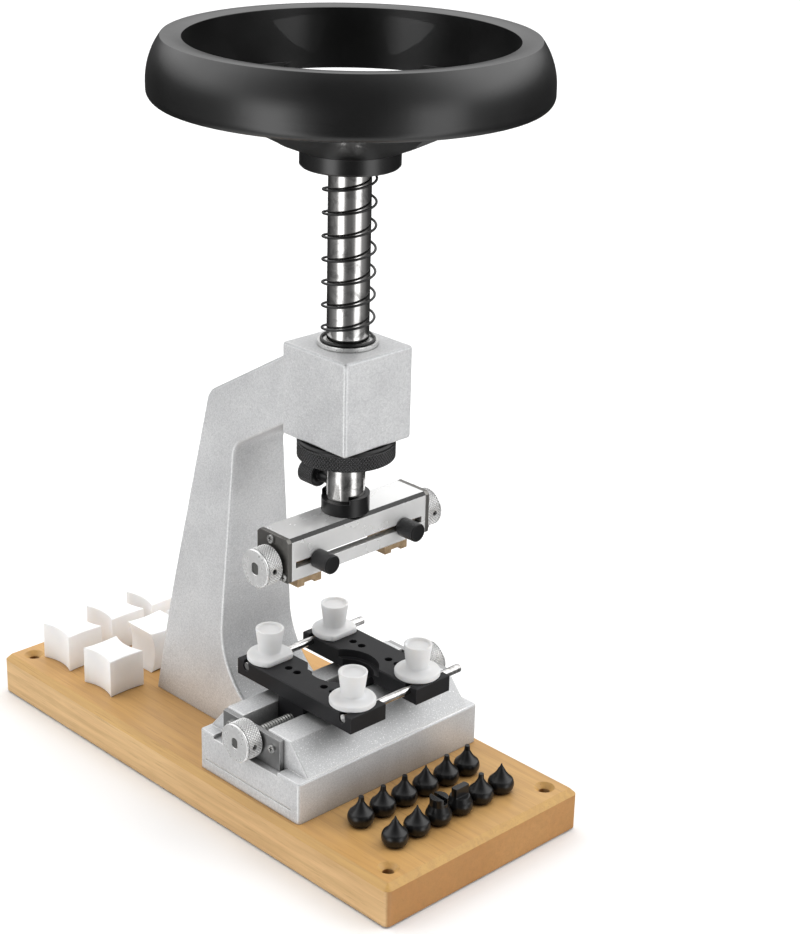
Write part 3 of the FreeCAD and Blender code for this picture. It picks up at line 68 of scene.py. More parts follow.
class Finish:
    """One material, built a node at a time."""

    def __init__(self, name, **surface):
        self.material = bpy.data.materials.new(name)
        self.material.use_nodes = True
        self.tree = self.material.node_tree
        self.surface = self.tree.nodes["Principled BSDF"]
        self.coordinates = self.tree.nodes.new("ShaderNodeTexCoord")
        self.put(self.surface, surface)

    def put(self, node, values):
        """Set or link inputs of a node, by name or number."""
        for key, value in values.items():
            socket = node.inputs[key if isinstance(key, int) else key.replace("_", " ")]
            if isinstance(value, bpy.types.NodeSocket):
                self.tree.links.new(value, socket)
            elif isinstance(value, tuple) and len(value) == 3 and socket.type == "RGBA":
                socket.default_value = (*value, 1.0)
            else:
                socket.default_value = value

    def node(self, kind, settings=None, **values):
        """A new node with its settings and inputs."""
        made = self.tree.nodes.new("ShaderNode" + kind)
        for key, value in (settings or {}).items():
            setattr(made, key, value)
        self.put(made, values)
        return made

    def stretched(self, stretch):
        """Object coordinates, scaled along each axis."""
        place = self.coordinates.outputs["Object"]
        return self.node("Mapping", Vector=place, Scale=stretch).outputs["Vector"]

    def noise(self, scale, detail=3.0, roughness=0.5, distortion=0.0, stretch=(1.0, 1.0, 1.0)):
        """Soft noise; scale is in features per metre."""
        values = {"Scale": scale, "Detail": detail, "Roughness": roughness, "Distortion": distortion}
        return self.node("TexNoise", Vector=self.stretched(stretch), **values).outputs["Fac"]

    def ramp(self, value, *stops):
        """Colour or grey from a value; a stop is (position, colour)."""
        made = self.node("ValToRGB", Fac=value)
        elements = made.color_ramp.elements
        while len(elements) < len(stops):
            elements.new(0.5)
        for element, (position, colour) in zip(elements, stops):
            element.position = position
            element.color = (*colour, 1.0) if isinstance(colour, tuple) else (colour, colour, colour, 1.0)
        return made.outputs["Color"]

    def mix(self, factor, first, second):
        """The first colour where the factor is nought, and the second where it is one."""
        made = self.node("Mix", {"data_type": "RGBA"})
        self.put(made, {0: factor, 6: first, 7: second})
        return made.outputs[2]

    def sum(self, operation, first, second=0.0):
        """Arithmetic on two values."""
        made = self.node("Math", {"operation": operation})
        self.put(made, {0: first, 1: second})
        return made.outputs["Value"]

    def bump(self, height, distance, strength=1.0, normal=None):
        """A surface normal from a height."""
        made = self.node("Bump", Height=height, Distance=distance, Strength=strength)
        if normal is not None:
            self.put(made, {"Normal": normal})
        return made.outputs["Normal"]

    def round_normal(self, radius):
        """The surface normal with every edge rounded."""
        return self.node("Bevel", {"samples": 6}, Radius=radius).outputs["Normal"]

    def edges_for_wear_and_highlight(self, radius, low, high):
        """One along the edges and nought elsewhere."""
        flat = self.node("NewGeometry").outputs["Normal"]
        dot = self.node("VectorMath", {"operation": "DOT_PRODUCT"})
        self.put(dot, {0: self.round_normal(radius), 1: flat})
        turned_away = self.sum("SUBTRACT", 1.0, dot.outputs["Value"])
        return self.ramp(turned_away, (low, 0.0), (high, 1.0))

    def openness(self, distance, samples=6, own_only=False):
        """One on open surfaces, falling towards nought in corners and slots narrower than the distance."""
        settings = {"samples": samples, "only_local": own_only}
        return self.node("AmbientOcclusion", settings, Distance=distance).outputs["AO"]

    def facing(self, axis):
        """How squarely the surface faces along X, Y or Z, from -1 to 1."""
        parts = self.node("SeparateXYZ", Vector=self.coordinates.outputs["Normal"])
        return parts.outputs[axis]

    def around(self):
        """Distance from the piece's own Z axis."""
        flat = self.stretched((1.0, 1.0, 0.0))
        made = self.node("VectorMath", {"operation": "LENGTH"})
        self.put(made, {0: flat})
        return made.outputs["Value"]


def wood():
    """Varnished wood: long grain on top and sides, with the sides painted paler as painted light, redder end
    grain, and painted shade in holes and corners, where the countersunk holes also have darker torn fibres.
    """
    f = Finish("varnished_wood", Specular_IOR_Level=0.3, Coat_Weight=0.08, Coat_Roughness=0.22)
    cloud = f.noise(9.0, 4.0, 0.55, 0.3, (1.0, 0.35, 1.0))
    grain = f.noise(330.0, 6.0, 0.62, 0.4, (1.0, 0.045, 1.0))
    pores = f.noise(1500.0, 3.0, 0.6, 0.0, (1.0, 0.03, 1.0))
    rings = f.node("TexWave", {"wave_type": "BANDS", "bands_direction": "X"})
    f.put(rings, {"Vector": f.stretched((1.0, 0.06, 2.4)), "Scale": 17.0, "Distortion": 9.0})
    f.put(rings, {"Detail": 3.0, "Detail Scale": 1.4})
    top = f.ramp(cloud, (0.28, (0.50, 0.27, 0.085)), (0.52, (0.61, 0.355, 0.125)), (0.75, (0.69, 0.44, 0.18)))
    # Painted light: the long-grain sides are painted paler than the top, for the light that falls on them.
    side = f.ramp(cloud, (0.25, (0.68, 0.42, 0.19)), (0.55, (0.80, 0.54, 0.27)), (0.8, (0.86, 0.62, 0.34)))
    end = f.ramp(cloud, (0.3, (0.38, 0.175, 0.06)), (0.55, (0.50, 0.25, 0.085)), (0.78, (0.60, 0.33, 0.125)))
    upward = f.ramp(f.facing("Z"), (0.82, 0.0), (0.95, 1.0))
    bevel_band = f.ramp(f.facing("Z"), (0.3, 0.0), (0.5, 1.0), (0.9, 1.0), (0.97, 0.0))
    endward = f.ramp(f.sum("ABSOLUTE", f.facing("Y")), (0.55, 0.0), (0.85, 1.0))
    colour = f.mix(upward, side, top)
    colour = f.mix(endward, colour, end)
    colour = f.mix(f.sum("MULTIPLY", bevel_band, 0.8), colour, (0.56, 0.33, 0.085))
    colour = f.mix(f.ramp(grain, (0.36, 0.34), (0.62, 0.0)), colour, (0.36, 0.19, 0.07))
    colour = f.mix(f.ramp(rings.outputs["Color"], (0.0, 0.16), (0.6, 0.0)), colour, (0.44, 0.24, 0.08))
    colour = f.mix(f.ramp(pores, (0.30, 0.35), (0.42, 0.0)), colour, (0.28, 0.14, 0.05))
    # Painted shade: darker in holes, in corners and round the parts standing on the board; round the
    # countersunk holes it also stands for torn fibres.
    hollow_shade = f.ramp(f.openness(0.006), (0.15, 0.85), (0.62, 0.0))
    colour = f.mix(hollow_shade, colour, (0.10, 0.04, 0.015))
    normal = f.bump(grain, 0.00012, 0.5, f.round_normal(0.0006))
    f.put(f.surface, {"Base Color": colour, "Normal": f.bump(pores, 0.00006, 0.4, normal)})
    f.put(f.surface, {"Roughness": f.ramp(cloud, (0.2, 0.30), (0.8, 0.46))})
    return f.material


def cast_metal():
    """Silver painted casting: fine sparkling grain, painted shade on slopes, in corners and in the channel,
    and paler edges, partly rubbed and partly painted highlight.
    """
    f = Finish("casting_silver", Metallic=0.35)
    flake = f.noise(1900.0, 2.0, 0.6)
    cloud = f.noise(26.0, 4.0, 0.6, 0.4)
    base = f.ramp(cloud, (0.3, (0.66, 0.665, 0.675)), (0.7, (0.79, 0.795, 0.80)))
    # Painted shade: faces that slope between upright and flat are painted darker.
    slope_shade = f.ramp(f.facing("Z"), (0.35, 0.0), (0.55, 0.62), (0.80, 0.62), (0.95, 0.0))
    base = f.mix(slope_shade, base, (0.30, 0.305, 0.31))
    mottle = f.noise(1000.0, 4.0, 0.75)
    base = f.mix(f.ramp(mottle, (0.38, 0.36), (0.58, 0.0)), base, (0.40, 0.405, 0.41))
    base = f.mix(f.ramp(flake, (0.58, 0.0), (0.70, 0.7)), base, (0.97, 0.97, 0.97))
    # Painted shade in small corners, creases and the engraved line.
    groove_shade = f.ramp(f.openness(0.0018), (0.30, 0.85), (0.70, 0.0))
    base = f.mix(groove_shade, base, (0.08, 0.08, 0.08))
    # Paler, smoother edges: partly paint rubbed through to metal, partly painted highlight along the edges.
    worn_and_lit_edges = f.edges_for_wear_and_highlight(0.0014, 0.02, 0.12)
    base = f.mix(worn_and_lit_edges, base, (0.93, 0.93, 0.92))
    # Painted shade in the channel and other wide hollows.
    channel_shade = f.ramp(f.openness(0.02), (0.15, 0.75), (0.75, 0.0))
    base = f.mix(channel_shade, base, (0.12, 0.12, 0.12))
    rough = f.ramp(cloud, (0.25, 0.36), (0.75, 0.50))
    f.put(f.surface, {"Base Color": base, "Roughness": f.mix(worn_and_lit_edges, rough, (0.24, 0.24, 0.24))})
    f.put(f.surface, {"Normal": f.bump(mottle, 0.00009, 0.5, f.round_normal(0.0008))})
    return f.material


def polished(name, colour, roughness, blotch, lines=None, smudge_and_reflection_share=0.62):
    """Bright metal with darker patches, partly smears and partly painted dark reflections
    (smudge_and_reflection_share is their share of the colour), painted shade in corners and, if asked, drawn
    lines.
    """
    f = Finish(name, Metallic=1.0)
    patches = f.noise(120.0, 5.0, 0.6, 0.8)
    # The darker patches are partly smears and partly painted dark reflections of the surroundings.
    dark = tuple(part * smudge_and_reflection_share for part in colour)
    base = f.mix(f.ramp(patches, (0.30, blotch), (0.52, 0.0)), colour, dark)
    # Painted shade in corners and narrow gaps.
    hollow_shade = f.ramp(f.openness(0.0012), (0.35, 0.9), (0.72, 0.0))
    base = f.mix(hollow_shade, base, (0.03, 0.03, 0.03))
    f.put(f.surface, {"Base Color": base})
    f.put(f.surface, {"Roughness": f.ramp(patches, (0.3, roughness * 1.8), (0.7, roughness))})
    normal = f.round_normal(0.0003)
    if lines:
        scratches = f.noise(700.0, 2.0, 0.6, 0.0, lines)
        normal = f.bump(scratches, 0.00001, 0.10, normal)
    f.put(f.surface, {"Normal": normal})
    return f.material


def nickel():
    """Satin nickel plate: pale faces, a painted dark reflection on the bevels along the top, and painted
    shade in slots and bores.
    """
    f = Finish("nickel_plate", Metallic=0.5)
    patches = f.noise(70.0, 3.0, 0.5, 0.4)
    colour = f.ramp(patches, (0.3, (0.88, 0.88, 0.875)), (0.6, (0.96, 0.96, 0.955)))
    # Painted reflection: the upward bevels are painted nearly black, as the dark surroundings they mirror.
    bevel = f.ramp(f.facing("Z"), (0.50, 0.0), (0.60, 1.0), (0.82, 1.0), (0.92, 0.0))
    colour = f.mix(bevel, colour, (0.02, 0.02, 0.02))
    # Painted shade in the slots and bores.
    hollow_shade = f.ramp(f.openness(0.005, samples=16, own_only=True), (0.25, 0.95), (0.72, 0.0))
    colour = f.mix(hollow_shade, colour, (0.03, 0.028, 0.025))
    scratches = f.noise(500.0, 2.0, 0.5, 0.0, (0.05, 1.0, 1.0))
    f.put(f.surface, {"Base Color": colour, "Roughness": f.ramp(patches, (0.3, 0.30), (0.7, 0.20))})
    f.put(f.surface, {"Normal": f.bump(scratches, 0.00001, 0.10, f.round_normal(0.0003))})
    return f.material


def blackened(name, colour, roughness, edge, grain_scale=3200.0, **surface):
    """Black finish with a fine grain, and its edges paler by the amount given as edge: partly worn to bare
    steel, partly painted highlight.
    """
    f = Finish(name, **surface)
    grain = f.noise(grain_scale, 2.0, 0.6)
    cloud = f.noise(45.0, 3.0, 0.55)
    light = tuple(part * 1.7 for part in colour)
    base = f.ramp(cloud, (0.3, colour), (0.75, light))
    # Paler edges: partly worn to bare steel, partly painted highlight along the edges.
    worn_and_lit_edges = f.edges_for_wear_and_highlight(0.00035, 0.08, 0.35)
    base = f.mix(f.sum("MULTIPLY", worn_and_lit_edges, edge), base, (0.30, 0.30, 0.31))
    f.put(f.surface, {"Base Color": base})
    f.put(f.surface, {"Roughness": f.ramp(cloud, (0.25, roughness * 0.88), (0.75, roughness * 1.12))})
    f.put(f.surface, {"Normal": f.bump(grain, 0.00003, 0.35, f.round_normal(0.0004))})
    return f.material


def brass():
    """Machined brass, a little tarnished, with cutter marks."""
    f = Finish("machined_brass", Metallic=0.75)
    cloud = f.noise(190.0, 4.0, 0.6, 0.5)
    marks = f.noise(2200.0, 2.0, 0.5, 0.0, (0.06, 1.0, 1.0))
    base = f.ramp(cloud, (0.3, (0.36, 0.24, 0.14)), (0.55, (0.60, 0.43, 0.26)), (0.8, (0.78, 0.60, 0.40)))
    f.put(f.surface, {"Base Color": base, "Roughness": f.ramp(cloud, (0.3, 0.42), (0.8, 0.26))})
    f.put(f.surface, {"Normal": f.bump(marks, 0.00004, 0.4, f.round_normal(0.0003))})
    return f.material


def knob_metal():
    """Bright aluminium with painted shade in the knurl grooves, and the fine rings that a lathe leaves on its
    faces.
    """
    f = Finish("turned_aluminium", Metallic=0.5)
    rings = f.node("TexWave", {"wave_type": "BANDS", "bands_direction": "X"})
    join = f.node("CombineXYZ", X=f.around())
    f.put(rings, {"Vector": join.outputs["Vector"], "Scale": 260.0, "Distortion": 0.3, "Detail": 1.0})
    patches = f.noise(260.0, 4.0, 0.6)
    bright = f.ramp(patches, (0.3, (0.70, 0.70, 0.695)), (0.6, (0.84, 0.84, 0.835)))
    # Painted shade in the knurl grooves.
    groove_shade = f.ramp(f.openness(0.0010, samples=8), (0.35, 0.95), (0.80, 0.0))
    bright = f.mix(groove_shade, bright, (0.05, 0.05, 0.05))
    f.put(f.surface, {"Base Color": bright})
    f.put(f.surface, {"Roughness": f.ramp(patches, (0.3, 0.36), (0.7, 0.24)), "Anisotropic": 0.35})
    f.put(f.surface, {"Normal": f.bump(rings.outputs["Color"], 0.00001, 0.12)})
    return f.material


def nylon(name, low, high):
    """White nylon, its grey between low and high: soft, slightly see-through, with faint mould marks."""
    f = Finish(name, Subsurface_Weight=0.35, Subsurface_Scale=0.004, Specular_IOR_Level=0.45)
    f.put(f.surface, {"Subsurface Radius": (1.0, 0.9, 0.8)})
    cloud = f.noise(60.0, 3.0, 0.5)
    f.put(f.surface, {"Base Color": f.ramp(cloud, (0.3, low), (0.7, high))})
    f.put(f.surface, {"Roughness": f.ramp(cloud, (0.3, 0.36), (0.7, 0.5))})
    f.put(f.surface, {"Normal": f.bump(f.noise(900.0, 3.0, 0.6), 0.00005, 0.3)})
    return f.material


# The finish of each slot
FINISHES = {
    "board_wood": wood(),
    "casting_paint": cast_metal(),
    "polished_steel": polished("polished_steel", (0.62, 0.61, 0.60), 0.10, 0.9, smudge_and_reflection_share=0.3),
    "nickel_steel": nickel(),
    "plated_screw": polished("zinc_plate", (0.70, 0.70, 0.69), 0.22, 0.5),
    "spring_steel": blackened("oiled_spring_steel", (0.006, 0.006, 0.006), 0.36, 0.15),
    "wheel_black": blackened(
        "wheel_black", (0.003, 0.003, 0.0031), 0.34, 0.04, grain_scale=1400.0, IOR=1.5, Coat_Weight=0.20
    ),
    "black_oxide": blackened("black_oxide", (0.005, 0.005, 0.0053), 0.34, 0.85, Specular_IOR_Level=0.32),
    "brass": brass(),
    "knob_aluminium": knob_metal(),
    "plate_steel": polished("brushed_plate", (0.42, 0.42, 0.42), 0.30, 0.4, (1.0, 0.05, 1.0)),
    "black_anodised": blackened("black_anodised", (0.010, 0.010, 0.011), 0.50, 0.30, Specular_IOR_Level=0.25),
    # Painted shade: the pegs' nylon is painted greyer than the blocks', against the strong light on them.
    "nylon": nylon("white_nylon", 0.68, 0.77),
    "tip_black": blackened("tip_black", (0.004, 0.004, 0.0043), 0.30, 0.10, Specular_IOR_Level=0.4),
}

# Nodes that don't look like the rest of their slot, by a part of their names
OWN_FINISHES = {
    "holder_plate": polished("dull_plate", (0.20, 0.195, 0.185), 0.34, 0.4, (1.0, 1.0, 0.05)),
    "lead_screw": polished("dark_screw", (0.30, 0.30, 0.29), 0.30, 0.4),
    # Painted light: the blocks' nylon is painted paler than the pegs', to make up for the shade they stand
    # in.
    "rest_block": nylon("nylon_painted_paler", 0.88, 0.94),
}


# ---- shaping -------------------------------------------------------------------------------------------

UPRIGHT = Matrix.Identity(4)
TO_RIGHT = Matrix.Rotation(math.radians(90), 4, "Y")
TO_LEFT = Matrix.Rotation(math.radians(-90), 4, "Y")
TO_FRONT = Matrix.Rotation(math.radians(90), 4, "X")
TO_REAR = Matrix.Rotation(math.radians(-90), 4, "X")

BODY_OF = {node: body for body, nodes in frame["record"]["behaviour"]["bodies"].items() for node in nodes}
SLOT_OF = {row["node"]: row["material_slot"] for row in frame["record"]["subparts"]}


def finish_of(node):
    """A node's own finish, or that of its slot."""
    own = [finish for part, finish in OWN_FINISHES.items() if part in node]
    return own[0] if own else FINISHES[SLOT_OF[node]]


def middle(node):
    """Centre of a node's box."""
    low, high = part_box(node)
    return (low + high) / 2


SPINDLE_AXIS = middle("spindle")


def stand_for(name, mesh, node, place, turn=UPRIGHT, crease=20.0):
    """A finished piece that replaces a node, with its body, slot and finish; edges above crease are sharp."""
    mesh.shade_smooth()
    mesh.set_sharp_from_angle(angle=math.radians(crease))
    piece = bpy.data.objects.new(name, mesh)
    bpy.context.scene.collection.objects.link(piece)
    piece.matrix_world = Matrix.Translation(place) @ turn
    mesh.materials.append(finish_of(node))
    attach(piece, BODY_OF[node])
    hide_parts(node)
    return piece


def mesh_from(name, points, faces):
    """A checked mesh from points and faces."""
    mesh = bpy.data.meshes.new(name)
    mesh.from_pydata([tuple(point) for point in points], [], faces)
    mesh.validate()
    mesh.update()
    return mesh


def rounded(outline, radius):
    """An outline of (radius, height) points with each inner corner rounded; the two ends stay."""
    steps, longest = 3, 0.45
    points = [Vector(point) for point in outline]
    made = [points[0]]
    for before, corner, after in zip(points, points[1:], points[2:]):
        reach = min(radius, (before - corner).length * longest, (after - corner).length * longest)
        start = corner + (before - corner).normalized() * reach
        end = corner + (after - corner).normalized() * reach
        for step in range(steps + 1):
            t = step / steps
            made.append(start * (1 - t) ** 2 + corner * (2 * t * (1 - t)) + end * t ** 2)
    made.append(points[-1])
    return [(point.x, point.y) for point in made]


def turned(name, rows, columns):
    """A turned mesh about Z. A row is (radius, height); the radius may be a function of the column.

    Rows with the radius 0 close the ends, and without them the last row joins the first, as in a ring."""
    points = []
    starts = []
    for radius, height in rows:
        starts.append(len(points))
        if radius == 0:
            points.append((0.0, 0.0, height))
            continue
        for column in range(columns):
            reach = radius(column) if callable(radius) else radius
            angle = 2 * math.pi * column / columns
            points.append((reach * math.cos(angle), reach * math.sin(angle), height))
    solid = rows[0][0] == 0
    faces = []
    for index in range(len(rows) - 1 if solid else len(rows)):
        following = (index + 1) % len(rows)
        faces += band(points, starts, rows, index, following, columns)
    return mesh_from(name, points, faces)


def band(points, starts, rows, index, following, columns):
    """The faces between two rows; where the radius varies, each cell is split along its lower diagonal."""
    faces = []
    varied = callable(rows[index][0]) and callable(rows[following][0])
    for column in range(columns):
        beside = (column + 1) % columns
        low = [starts[index] + column, starts[index] + beside]
        high = [starts[following] + column, starts[following] + beside]
        if rows[index][0] == 0:
            faces.append((starts[index], high[1], high[0]))
        elif rows[following][0] == 0:
            faces.append((low[0], low[1], starts[following]))
        elif not varied:
            faces.append((low[0], low[1], high[1], high[0]))
        else:
            rising = Vector(points[low[0]]).xy.length + Vector(points[high[1]]).xy.length
            falling = Vector(points[low[1]]).xy.length + Vector(points[high[0]]).xy.length
            if rising <= falling:
                faces += [(low[0], low[1], high[1]), (low[0], high[1], high[0])]
            else:
                faces += [(low[0], low[1], high[0]), (low[1], high[1], high[0])]
    return faces


def knurl_rows(radius, low, high, pitch, depth):
    """Rows of a diamond knurl: each diamond is a small pyramid between crossing grooves."""
    count = max(2, round((high - low) / (pitch / 2)))

    def row(index):
        return lambda column: radius - (depth if (column + index) % 2 == 0 else 0.0)

    return [(row(index), low + (high - low) * index / count) for index in range(count + 1)]


def knurl_columns(radius, pitch):
    """An even number of columns, two to each diamond."""
    return 2 * round(2 * math.pi * radius / pitch)


def baked(blank):
    """The mesh of an object as its modifiers or its bevel leave it."""
    bpy.context.view_layer.update()
    return bpy.data.meshes.new_from_object(blank.evaluated_get(bpy.context.evaluated_depsgraph_get()))


def drilled(mesh, name, cutter, matrix):
    """The mesh with a cutter mesh, placed by its matrix, taken out of it."""
    blank = bpy.data.objects.new(name, mesh)
    tool = bpy.data.objects.new(name + "_tool", cutter)
    for item in (blank, tool):
        bpy.context.scene.collection.objects.link(item)
    tool.matrix_world = matrix
    cut = blank.modifiers.new("cut", "BOOLEAN")
    cut.operation = "DIFFERENCE"
    cut.solver = "EXACT"
    cut.object = tool
    result = baked(blank)
    for item in (blank, tool):
        bpy.data.objects.remove(item)
    return result


def rod_mesh(name, radius, low, high):
    """A plain cylinder for cutting."""
    return turned(name, [(0, low), (radius, low), (radius, high), (0, high)], 32)


# ---- knurled pieces ------------------------------------------------------------------------------------


def double_flat(journal, columns):
    """Radius of a shaft with two upright flats, as a function of the column."""
    flat = journal * FLAT_PART

    def radius(column):
        across = abs(math.sin(2 * math.pi * column / columns))
        return min(journal, flat / max(across, 1e-6))

    return radius


def make_knob(node, journal, turn, body_radius, length):
    """Knurled knob: a smooth rim by its outer face, a double-flat bore and a grub hole."""
    half = length / 2
    bevel, step, smooth = 0.4 * MM, 0.1 * MM, 0.9 * MM
    pitch, depth = 1.4 * MM, 0.50 * MM
    mouth = 0.2 * MM
    grub_radius = 1.3 * MM
    columns = knurl_columns(body_radius, pitch)
    bore = double_flat(journal, columns)
    face_in = body_radius - bevel
    rim = body_radius - step
    knurl_end = half - smooth - bevel

    def wide_bore(column):
        return bore(column) + mouth

    rows = [(bore, -half + mouth), (wide_bore, -half)]
    rows += [(face_in * part, -half) for part in (0.45, 0.7, 0.97)]
    rows += [(face_in, -half + 0.08 * MM)]
    rows += knurl_rows(body_radius, -half + bevel, knurl_end, pitch * 1.1, depth)
    rows += [(rim - depth, knurl_end + step), (rim, half - smooth), (rim, half - bevel)]
    rows += [(face_in, half - 0.06 * MM)]
    rows += [(face_in * part, half) for part in (0.985, 0.7, 0.45)]
    rows += [(wide_bore, half), (bore, half - mouth)]
    mesh = turned(node + "_knurled", rows, columns)
    grub = rod_mesh("grub_cut", grub_radius, journal * 0.9, body_radius * 1.2)
    mesh = drilled(mesh, node + "_knurled", grub, turn.inverted() @ TO_FRONT)
    stand_for(node + "_knurled", mesh, node, middle(node), turn)


def make_knobs():
    """The four knobs of the two lead screws; the face of each looks outward."""
    for prefix, journal in JOURNALS.items():
        for side, turn in (("left", TO_LEFT), ("right", TO_RIGHT)):
            node = f"{prefix}_knob_{side}"
            low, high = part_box(node)
            make_knob(node, journal, turn, (high.z - low.z) / 2, high.x - low.x)


def make_stop_ring():
    """Black ring with a diamond knurl under a smooth band that ends in a bevel."""
    low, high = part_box("stop_ring")
    radius = (high.x - low.x) / 2
    half = (high.z - low.z) / 2
    bore, pitch, depth = 8.65 * MM, 1.5 * MM, 0.45 * MM
    foot, foot_rise, bevel = 0.6 * MM, 0.4 * MM, 0.8 * MM
    band_high, band_in = 2.1 * MM, 0.05 * MM
    band_low = half - band_high
    rows = [(bore, -half), (radius - foot, -half)]
    rows += knurl_rows(radius, -half + foot_rise, band_low, pitch * 1.15, depth)
    rows += [(radius - depth, band_low + 0.1 * MM), (radius - band_in, band_low + 0.5 * MM)]
    rows += [(radius - band_in, half - bevel), (radius - bevel, half), (bore, half)]
    mesh = turned("stop_ring_knurled", rows, knurl_columns(radius, pitch))
    stand_for("stop_ring_knurled", mesh, "stop_ring", middle("stop_ring"))


def thumb_rows(neck, radius, start, end, pitch, depth):
    """Rows of a knurled head from start to end, with softened rims and a slightly domed face."""
    bevel, dome = 0.55 * MM, 0.1 * MM
    rows = [(neck, start + 0.25 * MM), (radius - bevel, start), (radius - depth, start + bevel)]
    rows += knurl_rows(radius, start + bevel, end - bevel, pitch * 1.15, depth)
    rows += [(radius - bevel, end - dome), (radius * 0.55, end), (0, end)]
    return rows


def make_thumb_screw(node, neck, head, pitch, depth, turn):
    """A thumb screw: a thin neck, and a knurled head that looks to the front or to the rear."""
    low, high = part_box(node)
    radius = (high.x - low.x) / 2
    total = high.y - low.y
    gap, shoulder = 0.1 * MM, 1.2 * MM
    rows = [(0, 0.0), (neck, 0.0), (neck, total - head - gap)]
    rows += thumb_rows(neck + shoulder, radius, total - head, total, pitch, depth)
    mesh = turned(node + "_knurled", rows, knurl_columns(radius, pitch))
    tip = high.y if turn == TO_FRONT else low.y
    place = Vector((middle(node).x, tip, middle(node).z))
    stand_for(node + "_knurled", mesh, node, place, turn)


def make_thumb_screws():
    """The screw that holds the holder's shank, at the rear, and the two that lock the brass jaws."""
    make_thumb_screw("lock_screw", 2.3 * MM, 9.6 * MM, 1.0 * MM, 0.22 * MM, TO_REAR)
    for side in ("left", "right"):
        make_thumb_screw("clamp_screw_" + side, 1.4 * MM, 10.4 * MM, 0.8 * MM, 0.15 * MM, TO_FRONT)


# ---- spring and threads --------------------------------------------------------------------------------


def spring_points(mean, bottom, top):
    """The wire's middle line: a wider closed turn, the open turns, and a closed turn at the top."""
    open_turns, closed_turns, steps = 7.3, 0.85, 40
    start, closed_wider = -0.07, 0.25 * MM
    points = []
    for index in range(round((open_turns + 2 * closed_turns) * steps) + 1):
        turns = index / steps - closed_turns
        share = min(max(turns / open_turns, 0.0), 1.0)
        angle = 2 * math.pi * (turns + start)
        height = bottom + (top - bottom) * share
        reach = mean + (closed_wider if turns < 0 else 0.0)
        points.append((reach * math.cos(angle), reach * math.sin(angle), height, 1.0))
    return points


def make_spring():
    """Wound spring with a flat closed turn at each end, wound at one length; on the tool it shortens as the
    spindle goes down.
    """
    low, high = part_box("return_spring")
    wire, mean = 0.55 * MM, 11.2 * MM
    curve = bpy.data.curves.new("spring_line", "CURVE")
    curve.dimensions = "3D"
    curve.bevel_depth = wire
    curve.bevel_resolution = 4
    curve.use_fill_caps = True
    line = curve.splines.new("POLY")
    points = spring_points(mean, low.z + wire, high.z - wire)
    line.points.add(len(points) - 1)
    for made, point in zip(line.points, points):
        made.co = point
    holder = bpy.data.objects.new("spring_line", curve)
    bpy.context.scene.collection.objects.link(holder)
    mesh = baked(holder)
    bpy.data.objects.remove(holder)
    place = Vector((SPINDLE_AXIS.x, SPINDLE_AXIS.y, 0.0))
    piece = stand_for("return_spring_coil", mesh, "return_spring", place, crease=60.0)
    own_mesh(piece)


def thread_rows(radius, depth, pitch, low, high, hand, columns):
    """Rows of a V thread between two heights; hand is 1 for right-hand and -1 for left-hand."""
    steps = 8
    count = round((high - low) / pitch * steps)

    def row(height):
        def reach(column):
            turn = height / pitch - hand * column / columns
            share = turn - math.floor(turn)
            return radius - depth * abs(2 * share - 1)

        return reach

    heights = [low + (high - low) * index / count for index in range(count + 1)]
    return [(row(height), height) for height in heights]


def make_lead_screw(node, journal, radius, plates):
    """A left-hand and a right-hand thread about a plain waist, and double-flat ends beyond the plates."""
    low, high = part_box(node)
    end = (high.x - low.x) / 2
    reach = plates - 0.05 * MM
    columns = 36
    pitch, depth = 1.5 * MM, 0.42 * MM
    waist, run_out = 4.0 * MM, 0.5 * MM
    thread_end = reach - 1.0 * MM
    neck, waist_radius = radius * 0.85, radius * 0.8
    flatted = double_flat(journal, columns)
    rows = [(0, -end), (flatted, -end), (flatted, -reach), (neck, -reach)]
    rows += thread_rows(radius, depth, pitch, -thread_end, -waist, -1, columns)
    rows += [(waist_radius, -waist + run_out), (waist_radius, waist - run_out)]
    rows += thread_rows(radius, depth, pitch, waist, thread_end, 1, columns)
    rows += [(neck, reach), (flatted, reach), (flatted, end), (0, end)]
    mesh = turned(node + "_cut", rows, columns)
    stand_for(node + "_cut", mesh, node, middle(node), TO_RIGHT, 25.0)


def make_lead_screws():
    """The screws that move the brass jaws and the vise's jaws."""
    holder_low, holder_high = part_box("holder_body")
    vise_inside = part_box("end_plate_right")[0].x
    make_lead_screw("upper_lead_screw", JOURNALS["upper"], 3.1 * MM, (holder_high.x - holder_low.x) / 2)
    make_lead_screw("vise_lead_screw", JOURNALS["vise"], 3.0 * MM, vise_inside)


# ---- moulded pieces ------------------------------------------------------------------------------------


def saucer(reach, flat_part, columns):
    """Radius of a round flange that is cut flat at the front, as a function of the column."""

    def radius(column):
        front = -math.sin(2 * math.pi * column / columns)
        return min(reach, flat_part * reach / max(front, 1e-6)) if front > 0 else reach

    return radius


def peg_rows(low, high, plate_top, flange, flat_part, columns):
    """Rows of a peg: a stud in the plate, a saucer flange, and a flared post with a cupped top."""
    stud, cup = 1.85 * MM, 1.2 * MM
    rim_top = plate_top + 3.3 * MM
    rows = [(0, low), (stud, low), (stud, plate_top)]
    for inset, height in (
        (0.5 * MM, plate_top),
        (0.0, plate_top + 0.5 * MM),
        (0.0, rim_top - 1.0 * MM),
        (0.35 * MM, rim_top - 0.55 * MM),
        (1.0 * MM, rim_top - 0.35 * MM),
    ):
        rows.append((saucer(flange - inset, flat_part, columns), height))
    post = [
        (6.2 * MM, rim_top - 0.1 * MM),
        (5.15 * MM, rim_top + 0.9 * MM),
        (6.6 * MM, high),
        (5.6 * MM, high),
        (4.9 * MM, high - 1.1 * MM),
        (0.5 * MM, high - cup),
    ]
    return rows + rounded(post, 0.4 * MM) + [(0, high - cup)]


